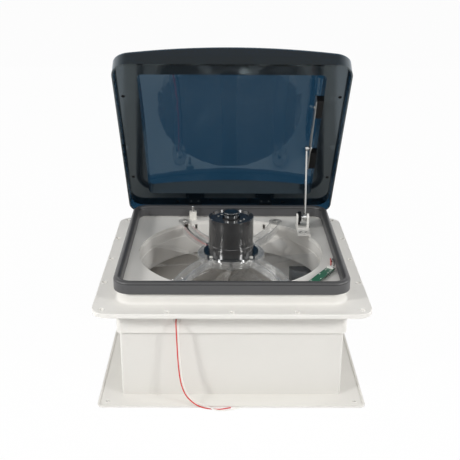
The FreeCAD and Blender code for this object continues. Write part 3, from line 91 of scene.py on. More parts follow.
class Signal:
    """A node socket that takes part in sums and products."""

    def __init__(self, bench: "Bench", socket: bpy.types.NodeSocket) -> None:
        """Wraps a socket of a tree."""
        self.bench = bench
        self.socket = socket

    def _with(self, operation: str, *parts: "Signal | float") -> "Signal":
        """Adds one Math node on the values."""
        node = self.bench.node("ShaderNodeMath", {"operation": operation}, dict(enumerate(parts)))
        return Signal(self.bench, node.outputs[0])

    def __add__(self, other: "Signal | float") -> "Signal":
        """The sum of two values."""
        return self._with("ADD", self, other)

    def __radd__(self, other: float) -> "Signal":
        """The sum of a number and this value."""
        return self._with("ADD", other, self)

    def __sub__(self, other: "Signal | float") -> "Signal":
        """The difference of two values."""
        return self._with("SUBTRACT", self, other)

    def __rsub__(self, other: float) -> "Signal":
        """A number less this value."""
        return self._with("SUBTRACT", other, self)

    def __mul__(self, other: "Signal | float") -> "Signal":
        """The product of two values."""
        return self._with("MULTIPLY", self, other)

    def __rmul__(self, other: float) -> "Signal":
        """The product of a number and this value."""
        return self._with("MULTIPLY", other, self)

    def __truediv__(self, other: "Signal | float") -> "Signal":
        """The quotient of two values."""
        return self._with("DIVIDE", self, other)

    def above(self, limit: float) -> "Signal":
        """One where the value is over a limit, and nought elsewhere."""
        return self._with("GREATER_THAN", self, limit)

    def larger(self, other: "Signal") -> "Signal":
        """The larger of two values."""
        return self._with("MAXIMUM", self, other)

    def near(self, level: float, reach: float) -> "Signal":
        """One where the value is within reach of a level, and nought elsewhere."""
        return self._with("COMPARE", self, level, reach)


class Bench:
    """A node tree of any kind, and the one way to add nodes to it."""

    tree: bpy.types.NodeTree

    def node(self, kind: str, settings: Settings = None, values: Values = None) -> bpy.types.Node:
        """Adds a node.

        Args:
            kind: the node's type.
            settings: its properties, such as a Math node's operation, set first.
            values: what its sockets take: a number, a colour, a signal, a socket or a list of sockets.

        Returns:
            The new node.
        """
        node = self.tree.nodes.new(kind)
        for key, setting in (settings or {}).items():
            setattr(node, key, setting)
        for key, value in (values or {}).items():
            socket = node.inputs[key]
            for part in value if isinstance(value, list) else [value]:
                source = part.socket if isinstance(part, Signal) else part
                if isinstance(source, bpy.types.NodeSocket):
                    self.tree.links.new(source, socket)
                else:
                    socket.default_value = source
        return node


class Graph(Bench):
    """The shader tree of one material."""

    def __init__(self, name: str) -> None:
        """Starts a material with an empty tree.

        Args:
            name: the material's name.
        """
        self.material = bpy.data.materials.new(name)
        self.material.use_nodes = True
        self.tree = self.material.node_tree
        self.tree.nodes.clear()

    def place(self, stretch: Point = (1.0, 1.0, 1.0), turn: Point = (0.0, 0.0, 0.0)) -> bpy.types.NodeSocket:
        """The point on the piece, stretched and turned.

        Args:
            stretch: how many times finer a pattern runs along each axis.
            turn: the pattern's turn about each axis, in radians.

        Returns:
            A vector socket.
        """
        coords = self.node("ShaderNodeTexCoord")
        mapping = self.node("ShaderNodeMapping", None,
                            {"Vector": coords.outputs["Object"], "Rotation": turn, "Scale": stretch})
        return mapping.outputs[0]

    def height(self) -> Signal:
        """How high the point on the piece is, in metres."""
        parts = self.node("ShaderNodeSeparateXYZ", None, {0: self.place()})
        return Signal(self, parts.outputs[2])

    def noise(self, grain: float, detail: float = 2.0, stretch: Point = (1.0, 1.0, 1.0)) -> Signal:
        """Soft noise from nought to one.

        Args:
            grain: the size of one blotch, in metres.
            detail: how many finer layers it has.
            stretch: how many times finer it runs along each axis.

        Returns:
            The noise as a value.
        """
        node = self.node("ShaderNodeTexNoise", None,
                         {"Vector": self.place(stretch), "Scale": 1.0 / grain, "Detail": detail})
        return Signal(self, node.outputs["Fac"])

    def mix(self, share: Signal, low: Paint, high: Paint) -> bpy.types.NodeSocket:
        """A colour between two.

        Args:
            share: nought for the first, one for the second.
            low, high: colours or colour sockets.

        Returns:
            A colour socket.
        """
        low, high = ((*paint, 1.0) if isinstance(paint, tuple) else paint for paint in (low, high))
        node = self.node("ShaderNodeMix", {"data_type": "RGBA"}, {"Factor": share, "A": low, "B": high})
        return node.outputs[2]

    def bump(self, height: Signal, strength: float, distance: float) -> bpy.types.NodeSocket:
        """A normal that follows a height.

        Args:
            height: the relief, from nought to one.
            strength: how much of it shows.
            distance: its depth, in metres.

        Returns:
            A normal socket.
        """
        node = self.node("ShaderNodeBump", None,
                         {"Strength": strength, "Distance": distance, "Height": height})
        return node.outputs[0]

    def surface(self, values: dict[str, object]) -> bpy.types.Material:
        """Ends the tree in one surface shader.

        Args:
            values: what the shader's sockets take.

        Returns:
            The finished material.
        """
        shader = self.node("ShaderNodeBsdfPrincipled", None, values)
        self.node("ShaderNodeOutputMaterial", None, {"Surface": shader.outputs[0]})
        return self.material


# What all finishes have in common.
BLOTCH_DETAIL = 3.0
GLOSS_DETAIL = 4.0
GLOSS_SHARE = 0.4
GRAIN_DEPTH = 0.3
COAT_ROUGHNESS = 0.04
EDGE_BLEND = 0.4
WAVE_PERIOD = 0.314


@dataclass(frozen=True)
class Finish:
    """A moulded or cast surface: blotched a little in colour and gloss, with a fine grain.

    Args:
        name: the material's name.
        colour: its linear colour.
        roughness: how dull it is.
        spread: how much the dullness changes over the surface.
        metallic: one for bare metal.
        coat: a clear gloss on top.
        mottle: the share by which the colour changes.
        blotch: the size of a colour blotch, in metres.
        grain: the size of the surface grain, in metres.
        relief: how strongly the grain shows.
        stretch: how many times finer the grain runs along each axis.
        clear: the share of light that passes through.
        bend: the refractive index.
        solid: one, or less where thin clear stuff lets what is behind it show.
        edge: how much more solid clear stuff looks where it is seen edge on.
        gleam: the colour of its reflections.
    """

    name: str
    colour: Colour
    roughness: float = 0.4
    spread: float = 0.08
    metallic: float = 0.0
    coat: float = 0.0
    mottle: float = 0.04
    blotch: float = 0.05
    grain: float = 0.0012
    relief: float = 0.12
    stretch: Point = (1.0, 1.0, 1.0)
    clear: float = 0.0
    bend: float = 1.48
    solid: float = 1.0
    edge: float = 0.0
    gleam: Colour = (1.0, 1.0, 1.0)

    def shade(self, factor: float) -> Colour:
        """The colour, lighter or darker by a factor."""
        red, green, blue = (min(1.0, part * factor) for part in self.colour)
        return red, green, blue

    def blotched(self, graph: Graph, level: float = 1.0) -> bpy.types.NodeSocket:
        """The colour with its blotches, lighter or darker by a level."""
        patches = graph.noise(self.blotch, BLOTCH_DETAIL, self.stretch)
        return graph.mix(patches, self.shade(level - self.mottle), self.shade(level + self.mottle))

    def tint(self, graph: Graph) -> bpy.types.NodeSocket:
        """The colour over the surface."""
        return self.blotched(graph)

    def height(self, graph: Graph) -> Signal:
        """The relief over the surface."""
        return graph.noise(self.grain, stretch=self.stretch)

    def cover(self, graph: Graph) -> Signal | float:
        """How solid the surface looks.

        Args:
            graph: the material's tree.

        Returns:
            One for a solid surface, less for a clear one.
        """
        if not self.edge:
            return self.solid
        weight = graph.node("ShaderNodeLayerWeight", None, {"Blend": EDGE_BLEND})
        slant = Signal(graph, weight.outputs["Facing"])
        return slant * slant * self.edge + self.solid

    def make(self) -> bpy.types.Material:
        """Builds the material.

        Returns:
            The finished material.
        """
        graph = Graph(self.name)
        gloss = graph.noise(self.blotch * GLOSS_SHARE, GLOSS_DETAIL, self.stretch)
        return graph.surface({
            "Base Color": self.tint(graph),
            "Roughness": (gloss - 0.5) * (2.0 * self.spread) + self.roughness,
            "Metallic": self.metallic,
            "Coat Weight": self.coat,
            "Coat Roughness": COAT_ROUGHNESS,
            "Transmission Weight": self.clear,
            "IOR": self.bend,
            "Specular Tint": (*self.gleam, 1.0),
            "Alpha": self.cover(graph),
            "Normal": graph.bump(self.height(graph), self.relief, self.grain * GRAIN_DEPTH),
        })


@dataclass(frozen=True)
class BoardFinish(Finish):
    """A solder-masked board with fine tracks that run across it.

    Args:
        pitch: the distance from track to track, in metres.
        turn: the tracks' turn about the upright, in radians.
        gap: the share of the pitch at which a track starts.
        levels: how light the mask is between the tracks and over them.
    """

    pitch: float = 0.0016
    turn: float = 0.0
    gap: float = 0.6
    levels: Pair = (0.85, 1.25)

    def tint(self, graph: Graph) -> bpy.types.NodeSocket:
        """The mask's colour, lighter over the tracks.

        Args:
            graph: the material's tree.

        Returns:
            A colour socket.
        """
        wave = graph.node("ShaderNodeTexWave", {"bands_direction": "X", "wave_profile": "SIN"},
                          {"Vector": graph.place(turn=(0.0, 0.0, self.turn)),
                           "Scale": WAVE_PERIOD / self.pitch, "Distortion": 0.0})
        tracks = Signal(graph, wave.outputs["Fac"]).above(self.gap)
        return graph.mix(tracks, *(self.shade(level) for level in self.levels))


@dataclass(frozen=True)
class GasketFinish(Finish):
    """A rubber bulb on a flat foot, with painted light on the foot and painted shade in the crease where the
    two meet.

    Args:
        crease: the crease's height, in metres.
        reach: half the crease's width, in metres.
        foot: how many times lighter the foot is painted than the bulb, as painted light.
        painted_crease_shade: how many times lighter the crease's painted shade is than the bulb.
    """

    crease: float = 0.1956
    reach: float = 0.0007
    # Painted light: the foot is drawn lighter than the bulb by this factor.
    foot: float = 1.35
    # Painted shade: the crease is drawn darker than the bulb by this factor.
    painted_crease_shade: float = 0.35

    def tint(self, graph: Graph) -> bpy.types.NodeSocket:
        """The rubber's colour: the bulb, the foot with its painted light, and the painted shade in the
        crease between them.

        Args:
            graph: the material's tree.

        Returns:
            A colour socket.
        """
        height = graph.height()
        # Painted light: the foot, below the crease, is drawn lighter than the bulb.
        both = graph.mix(height.above(self.crease), self.blotched(graph, self.foot), self.blotched(graph))
        # Painted shade: a thin band round the crease is drawn darker.
        return graph.mix(height.near(self.crease, self.reach), both, self.shade(self.painted_crease_shade))


@dataclass(frozen=True)
class ReflectionStreakFinish(Finish):
    """A glossy moulding with lighter streaks drawn out along one way, as painted reflection.

    Args:
        painted_reflection_colour: the painted reflection streaks' linear colour.
        painted_reflection_share: the share of the painted reflection streaks at their strongest.
        drawn: how many times finer the painted reflection streaks run along each axis.
    """

    # Painted reflection: lighter streaks stand in for the moulding's streaky reflections.
    painted_reflection_colour: Colour = srgb(40, 41, 42)
    painted_reflection_share: float = 0.2
    drawn: Point = (7.0, 1.0, 1.0)

    def tint(self, graph: Graph) -> bpy.types.NodeSocket:
        """The colour with its painted reflection streaks."""
        # Painted reflection: lighter streaks mixed into the colour.
        painted_reflection_share = graph.noise(self.blotch, stretch=self.drawn) * self.painted_reflection_share
        return graph.mix(painted_reflection_share, self.blotched(graph), self.painted_reflection_colour)


PAN_WHITE = Finish("moulded_white", srgb(232, 230, 225), 0.42, mottle=0.018, blotch=0.09, grain=0.0007,
                   relief=0.07)
GARNISH_WHITE = Finish("garnish_white", srgb(224, 222, 217), 0.48, mottle=0.02, blotch=0.12, grain=0.0009,
                       relief=0.1)
# Its foot carries painted light and its crease painted shade.
RUBBER = GasketFinish("bulb_rubber", srgb(66, 66, 67), 0.4, 0.06, mottle=0.05, blotch=0.03, grain=0.0009,
                      relief=0.12)
GROMMET = Finish("grommet_rubber", srgb(214, 212, 206), 0.6, mottle=0.05, blotch=0.01, relief=0.2)
SMOKED = Finish("smoked_blue", srgb(27, 58, 81), 0.04, 0.02, mottle=0.06, blotch=0.16,
                grain=0.03, relief=0.004, clear=1.0, bend=1.86, gleam=(0.8, 0.94, 1.0))
# The liner's colour carries painted reflection streaks.
LINER = ReflectionStreakFinish("liner_dark", srgb(13, 24, 32), 0.1, 0.04, mottle=0.12, blotch=0.06, grain=0.004,
                    relief=0.02, bend=1.92, gleam=(0.76, 0.91, 1.0))
CLEAR = Finish("clear_plastic", (0.86, 0.86, 0.85), 0.07, 0.03, metallic=0.7, mottle=0.02, grain=0.02,
               relief=0.02, solid=0.2, edge=0.7)
BLADE_CLEAR = Finish("clear_blade", (0.9, 0.9, 0.89), 0.06, 0.03, metallic=0.8, mottle=0.02, grain=0.02,
                     relief=0.02, solid=0.04, edge=0.5)
GLOSS_BLACK = Finish("gloss_black", srgb(50, 50, 51), 0.2, 0.05, coat=0.7, mottle=0.12, blotch=0.02,
                     grain=0.0015, relief=0.05)
PLATE_BLACK = Finish("plate_black", srgb(28, 32, 35), 0.14, 0.04, coat=0.9, mottle=0.1, blotch=0.02,
                     grain=0.0015, relief=0.02)
SATIN_BLACK = Finish("satin_black", srgb(15, 15, 16), 0.42, 0.08, mottle=0.12, blotch=0.02, relief=0.18,
                     bend=1.3)
STEEL = Finish("bright_steel", srgb(198, 198, 196), 0.24, 0.08, metallic=1.0, mottle=0.06, blotch=0.01,
               grain=0.0004, relief=0.06, stretch=(1.0, 6.0, 1.0))
RAIL_METAL = Finish("brushed_rail", srgb(196, 198, 199), 0.32, 0.1, metallic=1.0, mottle=0.06, blotch=0.012,
                    grain=0.0004, relief=0.14, stretch=(9.0, 1.0, 9.0))
SCREW_STEEL = Finish("screw_steel", srgb(176, 175, 171), 0.34, 0.08, metallic=1.0, mottle=0.1, blotch=0.003,
                     grain=0.0003, relief=0.08)
DARK_SCREW = replace(SCREW_STEEL, name="blackened_screw", colour=srgb(46, 46, 47))
SOLDER = Finish("solder_tin", srgb(214, 214, 210), 0.22, 0.06, metallic=1.0, mottle=0.05, blotch=0.002,
                grain=0.0004)
COPPER = Finish("wound_copper", srgb(176, 98, 58), 0.35, 0.08, metallic=1.0, mottle=0.14, blotch=0.004,
                grain=0.0008, relief=0.5)
FERRITE = Finish("ferrite_grey", srgb(62, 62, 64), 0.6, 0.1, mottle=0.15, blotch=0.006, relief=0.3)
CARBON = Finish("brush_carbon", srgb(40, 40, 41), 0.7, 0.1, mottle=0.2, blotch=0.003, relief=0.4)
BOARD = BoardFinish("board_green", srgb(26, 98, 72), 0.34, 0.06, coat=0.2, mottle=0.1, blotch=0.01,
                    turn=math.radians(-57.5))
CONTROL_BOARD = BoardFinish("control_green", srgb(28, 92, 60), 0.4, mottle=0.1, blotch=0.01)
TERMINAL = Finish("terminal_white", srgb(232, 231, 226), 0.38, mottle=0.03, blotch=0.006)
SWITCH_CREAM = Finish("post_cream", srgb(229, 226, 218), 0.4, mottle=0.03, blotch=0.01)
BOX_GREY = Finish("box_grey", srgb(38, 37, 36), 0.5, 0.08, mottle=0.1, blotch=0.02, relief=0.25)
FRAME_GREY = Finish("screen_frame_grey", srgb(120, 114, 106), 0.5, 0.1, mottle=0.1, blotch=0.02)
NET_BROWN = Finish("net_brown", srgb(140, 120, 98), 0.6, 0.1, mottle=0.16, blotch=0.03, grain=0.0006,
                   relief=0.3)
LEAD_RED = Finish("lead_red_pvc", srgb(206, 46, 40), 0.36, 0.06, mottle=0.06, blotch=0.01, grain=0.0006)
LEAD_BLACK = Finish("lead_black_pvc", srgb(28, 28, 28), 0.4, 0.06, mottle=0.08, blotch=0.01, grain=0.0006)
LEAD_WHITE = Finish("lead_white_pvc", srgb(234, 232, 226), 0.38, 0.06, mottle=0.03, blotch=0.01,
                    grain=0.0006)

NODE_FINISHES: dict[Finish, tuple[str, ...]] = {
    PAN_WHITE: ("base_pan", "lift_bracket", "lift_gear_case"),
    GARNISH_WHITE: ("garnish",),
    RUBBER: ("lid_gasket",),
    GROMMET: ("lead_grommet",),
    SMOKED: ("lid_dome",),
    LINER: ("lid_liner",),
    CLEAR: ("motor_spider",),
    BLADE_CLEAR: ("fan_impeller",),
    GLOSS_BLACK: ("motor_can",),
    PLATE_BLACK: ("motor_end_cap", "motor_flange"),
    SATIN_BLACK: ("worm_wheel", "rail_block_front", "rail_block_rear", "hinge_strap_left",
                  "hinge_strap_right", "hinge_bracket_left", "hinge_bracket_right"),
    STEEL: ("lift_arm", "pivot_shaft", "arm_pin", "switch_plunger", "motor_shaft", "hinge_pins",
            "impeller_clip", "lower_bearing", "upper_bearing", "lift_motor"),
    RAIL_METAL: ("lift_rail",),
    SCREW_STEEL: ("spider_screws", "motor_screws", "screen_screws", "hinge_screws", "bracket_screws",
                  "control_screws", "rail_screws", "strap_rivets"),
    DARK_SCREW: ("liner_screws", "lift_worm"),
    COPPER: ("armature", "commutator"),
    FERRITE: ("motor_magnets",),
    CARBON: ("motor_brushes",),
    BOARD: ("rain_sensor_board",),
    CONTROL_BOARD: ("control_board",),
    TERMINAL: ("sensor_terminal", "sensor_standoffs"),
    SWITCH_CREAM: ("lid_switch",),
    BOX_GREY: ("control_box", "control_cover"),
    FRAME_GREY: ("screen_frame",),
    NET_BROWN: ("screen_mesh",),
    LEAD_RED: ("motor_lead_red", "sensor_lead_red", "lead_red"),
    LEAD_BLACK: ("motor_lead_black", "sensor_lead_black"),
    LEAD_WHITE: ("lead_white",),
}


class Wardrobe:
    """Every finish, built once when it is first asked for."""

    def __init__(self) -> None:
        """Starts with nothing built."""
        self._made: dict[Finish, bpy.types.Material] = {}

    def get(self, finish: Finish) -> bpy.types.Material:
        """The material of a finish.

        Args:
            finish: the finish.

        Returns:
            The one material that is made of it.
        """
        if finish not in self._made:
            self._made[finish] = finish.make()
        return self._made[finish]

    def dress(self, item: bpy.types.Object, finish: Finish) -> None:
        """Gives a piece its one finish."""
        item.data.materials.clear()
        item.data.materials.append(self.get(finish))

    def dress_nodes(self, nodes: dict[str, bpy.types.Object]) -> None:
        """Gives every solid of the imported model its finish.

        Args:
            nodes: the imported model's objects by name.
        """
        for finish, names in NODE_FINISHES.items():
            for name in names:
                self.dress(nodes[name], finish)
        log.info("%d solids dressed in %d finishes", len(nodes), len(NODE_FINISHES))


def link(name: str, data: bpy.types.ID) -> bpy.types.Object:
    """Puts new data in the scene.

    Args:
        name: the new object's name.
        data: its mesh, curve, light or camera.

    Returns:
        The new object.
    """
    item = bpy.data.objects.new(name, data)
    bpy.context.scene.collection.objects.link(item)
    return item


class Body(Enum):
    """The bodies that a new piece may ride on."""

    BASE = "base"
    LID = "lid"


class Slot(Enum):
    """The record's material slots that are passed along with the new pieces."""

    FASTENER_STEEL = "fastener_steel"
    MOTOR_BLACK = "motor_black"
    CLEAR_PLASTIC = "clear_plastic"
    WHITE_PLASTIC = "white_plastic"
    SCREEN_PLASTIC = "screen_plastic"
    RED_INSULATION = "red_insulation"
    BLACK_INSULATION = "black_insulation"
    WHITE_INSULATION = "white_insulation"


class Way(Enum):
    """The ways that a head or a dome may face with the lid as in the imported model, 56.6 degrees open."""

    UP = (0.0, 0.0, 1.0)
    DOWN = (0.0, 0.0, -1.0)
    LEFT = (-1.0, 0.0, 0.0)
    OUT_OF_LINER = (0.0, -0.83485, -0.55048)
    BEHIND_LID = (0.0, 0.55048, -0.83485)


Place = tuple[Vector, Vector]


class Grower(Bench):
    """A geometry tree with named sizes that ends in real faces in one finish."""

    def __init__(self, name: str, *sizes: str) -> None:
        """Starts a tree with its named inputs.

        Args:
            name: the tree's name.
            sizes: the names of its size inputs.
        """
        self.tree = bpy.data.node_groups.new(name, "GeometryNodeTree")
        face = self.tree.interface
        face.new_socket("Geometry", in_out="INPUT", socket_type="NodeSocketGeometry")
        for size in sizes:
            face.new_socket(size, in_out="INPUT", socket_type="NodeSocketFloat")
        face.new_socket("Finish", in_out="INPUT", socket_type="NodeSocketMaterial")
        face.new_socket("Geometry", in_out="OUTPUT", socket_type="NodeSocketGeometry")
        self.given = self.node("NodeGroupInput").outputs

    def size(self, name: str) -> Signal:
        """A named size."""
        return Signal(self, self.given[name])

    def shape(self, kind: str, settings: Settings = None, values: Values = None) -> bpy.types.NodeSocket:
        """The first output of a new node."""
        return self.node(kind, settings, values).outputs[0]

    def vector(self, x: Signal | float, y: Signal | float, z: Signal | float) -> bpy.types.NodeSocket:
        """A vector of three values."""
        return self.shape("ShaderNodeCombineXYZ", None, {0: x, 1: y, 2: z})

    def block(self, x: Signal | float, y: Signal | float, z: Signal | float) -> bpy.types.NodeSocket:
        """A block round the origin."""
        return self.shape("GeometryNodeMeshCube", None, {"Size": self.vector(x, y, z)})

    def lift(self, shape: bpy.types.NodeSocket, rise: Signal | float) -> bpy.types.NodeSocket:
        """A shape moved along its own upright."""
        return self.shape("GeometryNodeTransform", None,
                          {"Geometry": shape, "Translation": self.vector(0.0, 0.0, rise)})

    def spread(self, shape: bpy.types.NodeSocket, upright: bool = False) -> bpy.types.NodeSocket:
        """Puts a shape at every point, with its top the way that the point faces.

        Args:
            shape: the shape to repeat.
            upright: whether it stays upright, and turns a side that way.

        Returns:
            The repeated shapes.
        """
        facing = self.shape("GeometryNodeInputNamedAttribute", {"data_type": "FLOAT_VECTOR"},
                            {"Name": "facing"})
        axes = {"axis": "X", "pivot_axis": "Z"} if upright else {"axis": "Z", "pivot_axis": "AUTO"}
        turn = self.shape("FunctionNodeAlignRotationToVector", axes, {"Vector": facing})
        return self.shape("GeometryNodeInstanceOnPoints", None,
                          {"Points": self.given["Geometry"], "Instance": shape, "Rotation": turn})

    def end(self, shape: bpy.types.NodeSocket) -> "Grower":
        """Ends the tree in real, dressed faces.

        Args:
            shape: what the tree has made.

        Returns:
            The tree itself.
        """
        real = self.shape("GeometryNodeRealizeInstances", None, {"Geometry": shape})
        dressed = self.shape("GeometryNodeSetMaterial", None,
                             {"Geometry": real, "Material": self.given["Finish"]})
        self.node("NodeGroupOutput", None, {0: dressed})
        return self

    def grow(self, name: str, places: Sequence[Place], sizes: dict[str, float],
             material: bpy.types.Material) -> bpy.types.Object:
        """Grows the shapes at some places into one plain mesh.

        Args:
            name: the piece's name.
            places: where each shape stands, and the way that it faces.
            sizes: the tree's sizes by name, in metres.
            material: the finish.

        Returns:
            The piece.
        """
        mesh = bpy.data.meshes.new(name)
        mesh.from_pydata([tuple(place) for place, _ in places], [], [])
        facing = mesh.attributes.new("facing", "FLOAT_VECTOR", "POINT")
        facing.data.foreach_set("vector", [part for _, way in places for part in way])
        item = link(name, mesh)
        modifier = item.modifiers.new("grow", "NODES")
        modifier.node_group = self.tree
        wanted = {**sizes, "Finish": material}
        for socket in self.tree.interface.items_tree:
            if socket.in_out == "INPUT" and socket.name in wanted:
                modifier[socket.identifier] = wanted[socket.name]
        grown = item.evaluated_get(bpy.context.evaluated_depsgraph_get())
        item_mesh = bpy.data.meshes.new_from_object(grown)
        item.modifiers.clear()
        item.data = item_mesh
        return item


# A screw's flats, and its shares of the head's diameter or height.
HEAD_FLATS = 24
SHANK_FLATS = 12
CROWN_SHARE = 0.34
RECESS_LONG = 0.56
RECESS_WIDE = 0.13
RECESS_RISE = 1.12

# How finely a dome and a rim are drawn.
DOME_SIDES = 16
DOME_RINGS = 8
RIM_STEPS = 28
RIM_SIDES = 10


def screw_tree() -> Grower:
    """A tapered head with a cross recess on a plain shank, its seat at the point.

    Returns:
        The tree.
    """
    grower = Grower("cross_screw", "Head Size", "Head High", "Shank Size", "Shank Long")
    wide, high = grower.size("Head Size"), grower.size("Head High")
    rim = grower.shape("GeometryNodeMeshCylinder", {"fill_type": "NGON"},
                       {"Vertices": HEAD_FLATS, "Radius": wide * 0.5, "Depth": high * 0.5})
    crown = grower.shape("GeometryNodeMeshCone", {"fill_type": "NGON"},
                         {"Vertices": HEAD_FLATS, "Radius Top": wide * CROWN_SHARE,
                          "Radius Bottom": wide * 0.5, "Depth": high * 0.5})
    crown = grower.lift(crown, high * 0.5)
    for along, across in ((RECESS_LONG, RECESS_WIDE), (RECESS_WIDE, RECESS_LONG)):
        cut = grower.lift(grower.block(wide * along, wide * across, high), high * RECESS_RISE)
        crown = grower.shape("GeometryNodeMeshBoolean", {"operation": "DIFFERENCE", "solver": "EXACT"},
                             {0: crown, 1: cut})
    thick, long = grower.size("Shank Size"), grower.size("Shank Long")
    shank = grower.shape("GeometryNodeMeshCylinder", {"fill_type": "NGON"},
                         {"Vertices": SHANK_FLATS, "Radius": thick * 0.5, "Depth": long})
    whole = grower.shape("GeometryNodeJoinGeometry", None,
                         {0: [crown, grower.lift(rim, high * 0.25), grower.lift(shank, long * -0.5)]})
    return grower.end(grower.spread(whole))


def dome_tree() -> Grower:
    """A low round dome, its middle plane at the point.

    Returns:
        The tree.
    """
    grower = Grower("low_dome", "Size", "High")
    ball = grower.shape("GeometryNodeMeshUVSphere", None,
                        {"Segments": DOME_SIDES, "Rings": DOME_RINGS, "Radius": 1.0})
    across = grower.size("Size") * 0.5
    dome = grower.shape("GeometryNodeTransform", None,
                        {"Geometry": ball, "Scale": grower.vector(across, across, grower.size("High"))})
    smooth = grower.shape("GeometryNodeSetShadeSmooth", None, {"Geometry": dome})
    return grower.end(grower.spread(smooth))


def ring_tree() -> Grower:
    """A round rim of wire about the point.

    Returns:
        The tree.
    """
    grower = Grower("hole_rim", "Size", "Thick")
    path = grower.shape("GeometryNodeCurvePrimitiveCircle", {"mode": "RADIUS"},
                        {"Resolution": RIM_STEPS, "Radius": grower.size("Size") * 0.5})
    outline = grower.shape("GeometryNodeCurvePrimitiveCircle", {"mode": "RADIUS"},
                           {"Resolution": RIM_SIDES, "Radius": grower.size("Thick") * 0.5})
    rim = grower.shape("GeometryNodeCurveToMesh", None, {"Curve": path, "Profile Curve": outline})
    smooth = grower.shape("GeometryNodeSetShadeSmooth", None, {"Geometry": rim})
    return grower.end(grower.spread(smooth))


def bar_tree() -> Grower:
    """An upright bar at the point, its depth the way that the point faces.

    Returns:
        The tree.
    """
    grower = Grower("upright_bar", "Deep", "Wide", "High")
    bar = grower.block(grower.size("Deep"), grower.size("Wide"), grower.size("High"))
    return grower.end(grower.spread(bar, upright=True))


def net_tree() -> Grower:
    """A square net of threads across the screen, both ways.

    Returns:
        The tree.
    """
    grower = Grower("square_net", "Side", "Pitch", "Thread", "Level")
    side, pitch, thread = grower.size("Side"), grower.size("Pitch"), grower.size("Thread")
    row = grower.shape("GeometryNodeMeshLine", {"mode": "OFFSET"}, {
        "Count": side / pitch, "Start Location": grower.vector(0.0, pitch * 0.5 - side * 0.5, 0.0),
        "Offset": grower.vector(0.0, pitch, 0.0)})
    threads = grower.shape("GeometryNodeInstanceOnPoints", None,
                           {"Points": row, "Instance": grower.block(side, thread, thread)})
    across = grower.lift(threads, grower.size("Level") - thread * 0.25)
    turned = grower.shape("GeometryNodeTransform", None,
                          {"Geometry": threads, "Rotation": (0.0, 0.0, math.pi / 2)})
    along = grower.lift(turned, grower.size("Level") + thread * 0.25)
    return grower.end(grower.shape("GeometryNodeJoinGeometry", None, {0: [across, along]}))


@dataclass
class Shop:
    """What the new pieces are made from.

    Args:
        nodes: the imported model's objects by name.
        wardrobe: the finishes.
        screw, dome, ring, bar, net: the growing trees, each built once.
    """

    nodes: dict[str, bpy.types.Object]
    wardrobe: Wardrobe
    screw: Grower = field(default_factory=screw_tree)
    dome: Grower = field(default_factory=dome_tree)
    ring: Grower = field(default_factory=ring_tree)
    bar: Grower = field(default_factory=bar_tree)
    net: Grower = field(default_factory=net_tree)

    def get(self, finish: Finish) -> bpy.types.Material:
        """The material of a finish."""
        return self.wardrobe.get(finish)


# How far apart two points or levels may be and still count as one, in metres.
SAME_POINT = 1e-6
SAME_LEVEL = 1e-5


def solids_of(node: bpy.types.Object) -> list[np.ndarray]:
    """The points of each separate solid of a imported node.

    Args:
        node: the node's object, whose own mesh is left alone.

    Returns:
        One array of points for each solid.
    """
    copy = bmesh.new()
    copy.from_mesh(node.data)
    bmesh.ops.remove_doubles(copy, verts=copy.verts, dist=SAME_POINT)
    solids = []
    waiting = set(copy.verts)
    while waiting:
        first = waiting.pop()
        found, edge = {first}, [first]
        while edge:
            for line in edge.pop().link_edges:
                for vert in line.verts:
                    if vert not in found:
                        found.add(vert)
                        edge.append(vert)
        waiting -= found
        solids.append(np.array([tuple(vert.co) for vert in found]))
    copy.free()
    return solids


def hand_over(item: bpy.types.Object, body: Body, slot: Slot, *nodes: str) -> None:
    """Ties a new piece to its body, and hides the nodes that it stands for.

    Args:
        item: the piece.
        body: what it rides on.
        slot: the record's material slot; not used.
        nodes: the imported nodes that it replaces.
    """
    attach(item, body.value)
    if nodes:
        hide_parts(*nodes)
    log.info("%s built", item.name)


@dataclass
class ScrewSet:
    """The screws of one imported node, with real heads.

    Args:
        node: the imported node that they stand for.
        body: what they ride on.
        way: the way that their heads face.
        finish: their finish.
        head: the head's diameter, in metres.
        high: the head's height, in metres.
        shank: the shank's diameter, in metres.
    """

    node: str
    body: Body
    way: Way
    finish: Finish
    head: float
    high: float
    shank: float

    def build(self, shop: Shop) -> None:
        """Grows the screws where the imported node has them.

        Args:
            shop: what they are made from.
        """
        way = Vector(self.way.value)
        first = way.orthogonal().normalized()
        axes = np.array([first, way.cross(first), way])
        places, long = [], 0.0
        for points in solids_of(shop.nodes[self.node]):
            along = points @ axes.T
            low, top = along.min(axis=0), along.max(axis=0)
            seat = ((low[0] + top[0]) / 2, (low[1] + top[1]) / 2, top[2] - self.high)
            places.append((Vector(np.array(seat) @ axes), way))
            long = top[2] - low[2] - self.high
        item = shop.screw.grow(f"{self.node}_heads", places, {
            "Head Size": self.head, "Head High": self.high, "Shank Size": self.shank, "Shank Long": long},
            shop.get(self.finish))
        hand_over(item, self.body, Slot.FASTENER_STEEL, self.node)


SCREW_SETS = (
    ScrewSet("spider_screws", Body.BASE, Way.UP, SCREW_STEEL, 0.008, 0.0024, 0.0036),
    ScrewSet("motor_screws", Body.BASE, Way.UP, SCREW_STEEL, 0.007, 0.003, 0.0036),
    ScrewSet("screen_screws", Body.BASE, Way.DOWN, SCREW_STEEL, 0.006, 0.0016, 0.0026),
    ScrewSet("hinge_screws", Body.BASE, Way.UP, SCREW_STEEL, 0.008, 0.0024, 0.0036),
    ScrewSet("bracket_screws", Body.BASE, Way.UP, SCREW_STEEL, 0.0065, 0.0022, 0.003),
    ScrewSet("control_screws", Body.BASE, Way.DOWN, SCREW_STEEL, 0.0055, 0.0018, 0.0026),
    ScrewSet("liner_screws", Body.LID, Way.OUT_OF_LINER, DARK_SCREW, 0.006, 0.002, 0.003),
    ScrewSet("rail_screws", Body.LID, Way.LEFT, SCREW_STEEL, 0.006, 0.0016, 0.003),
)


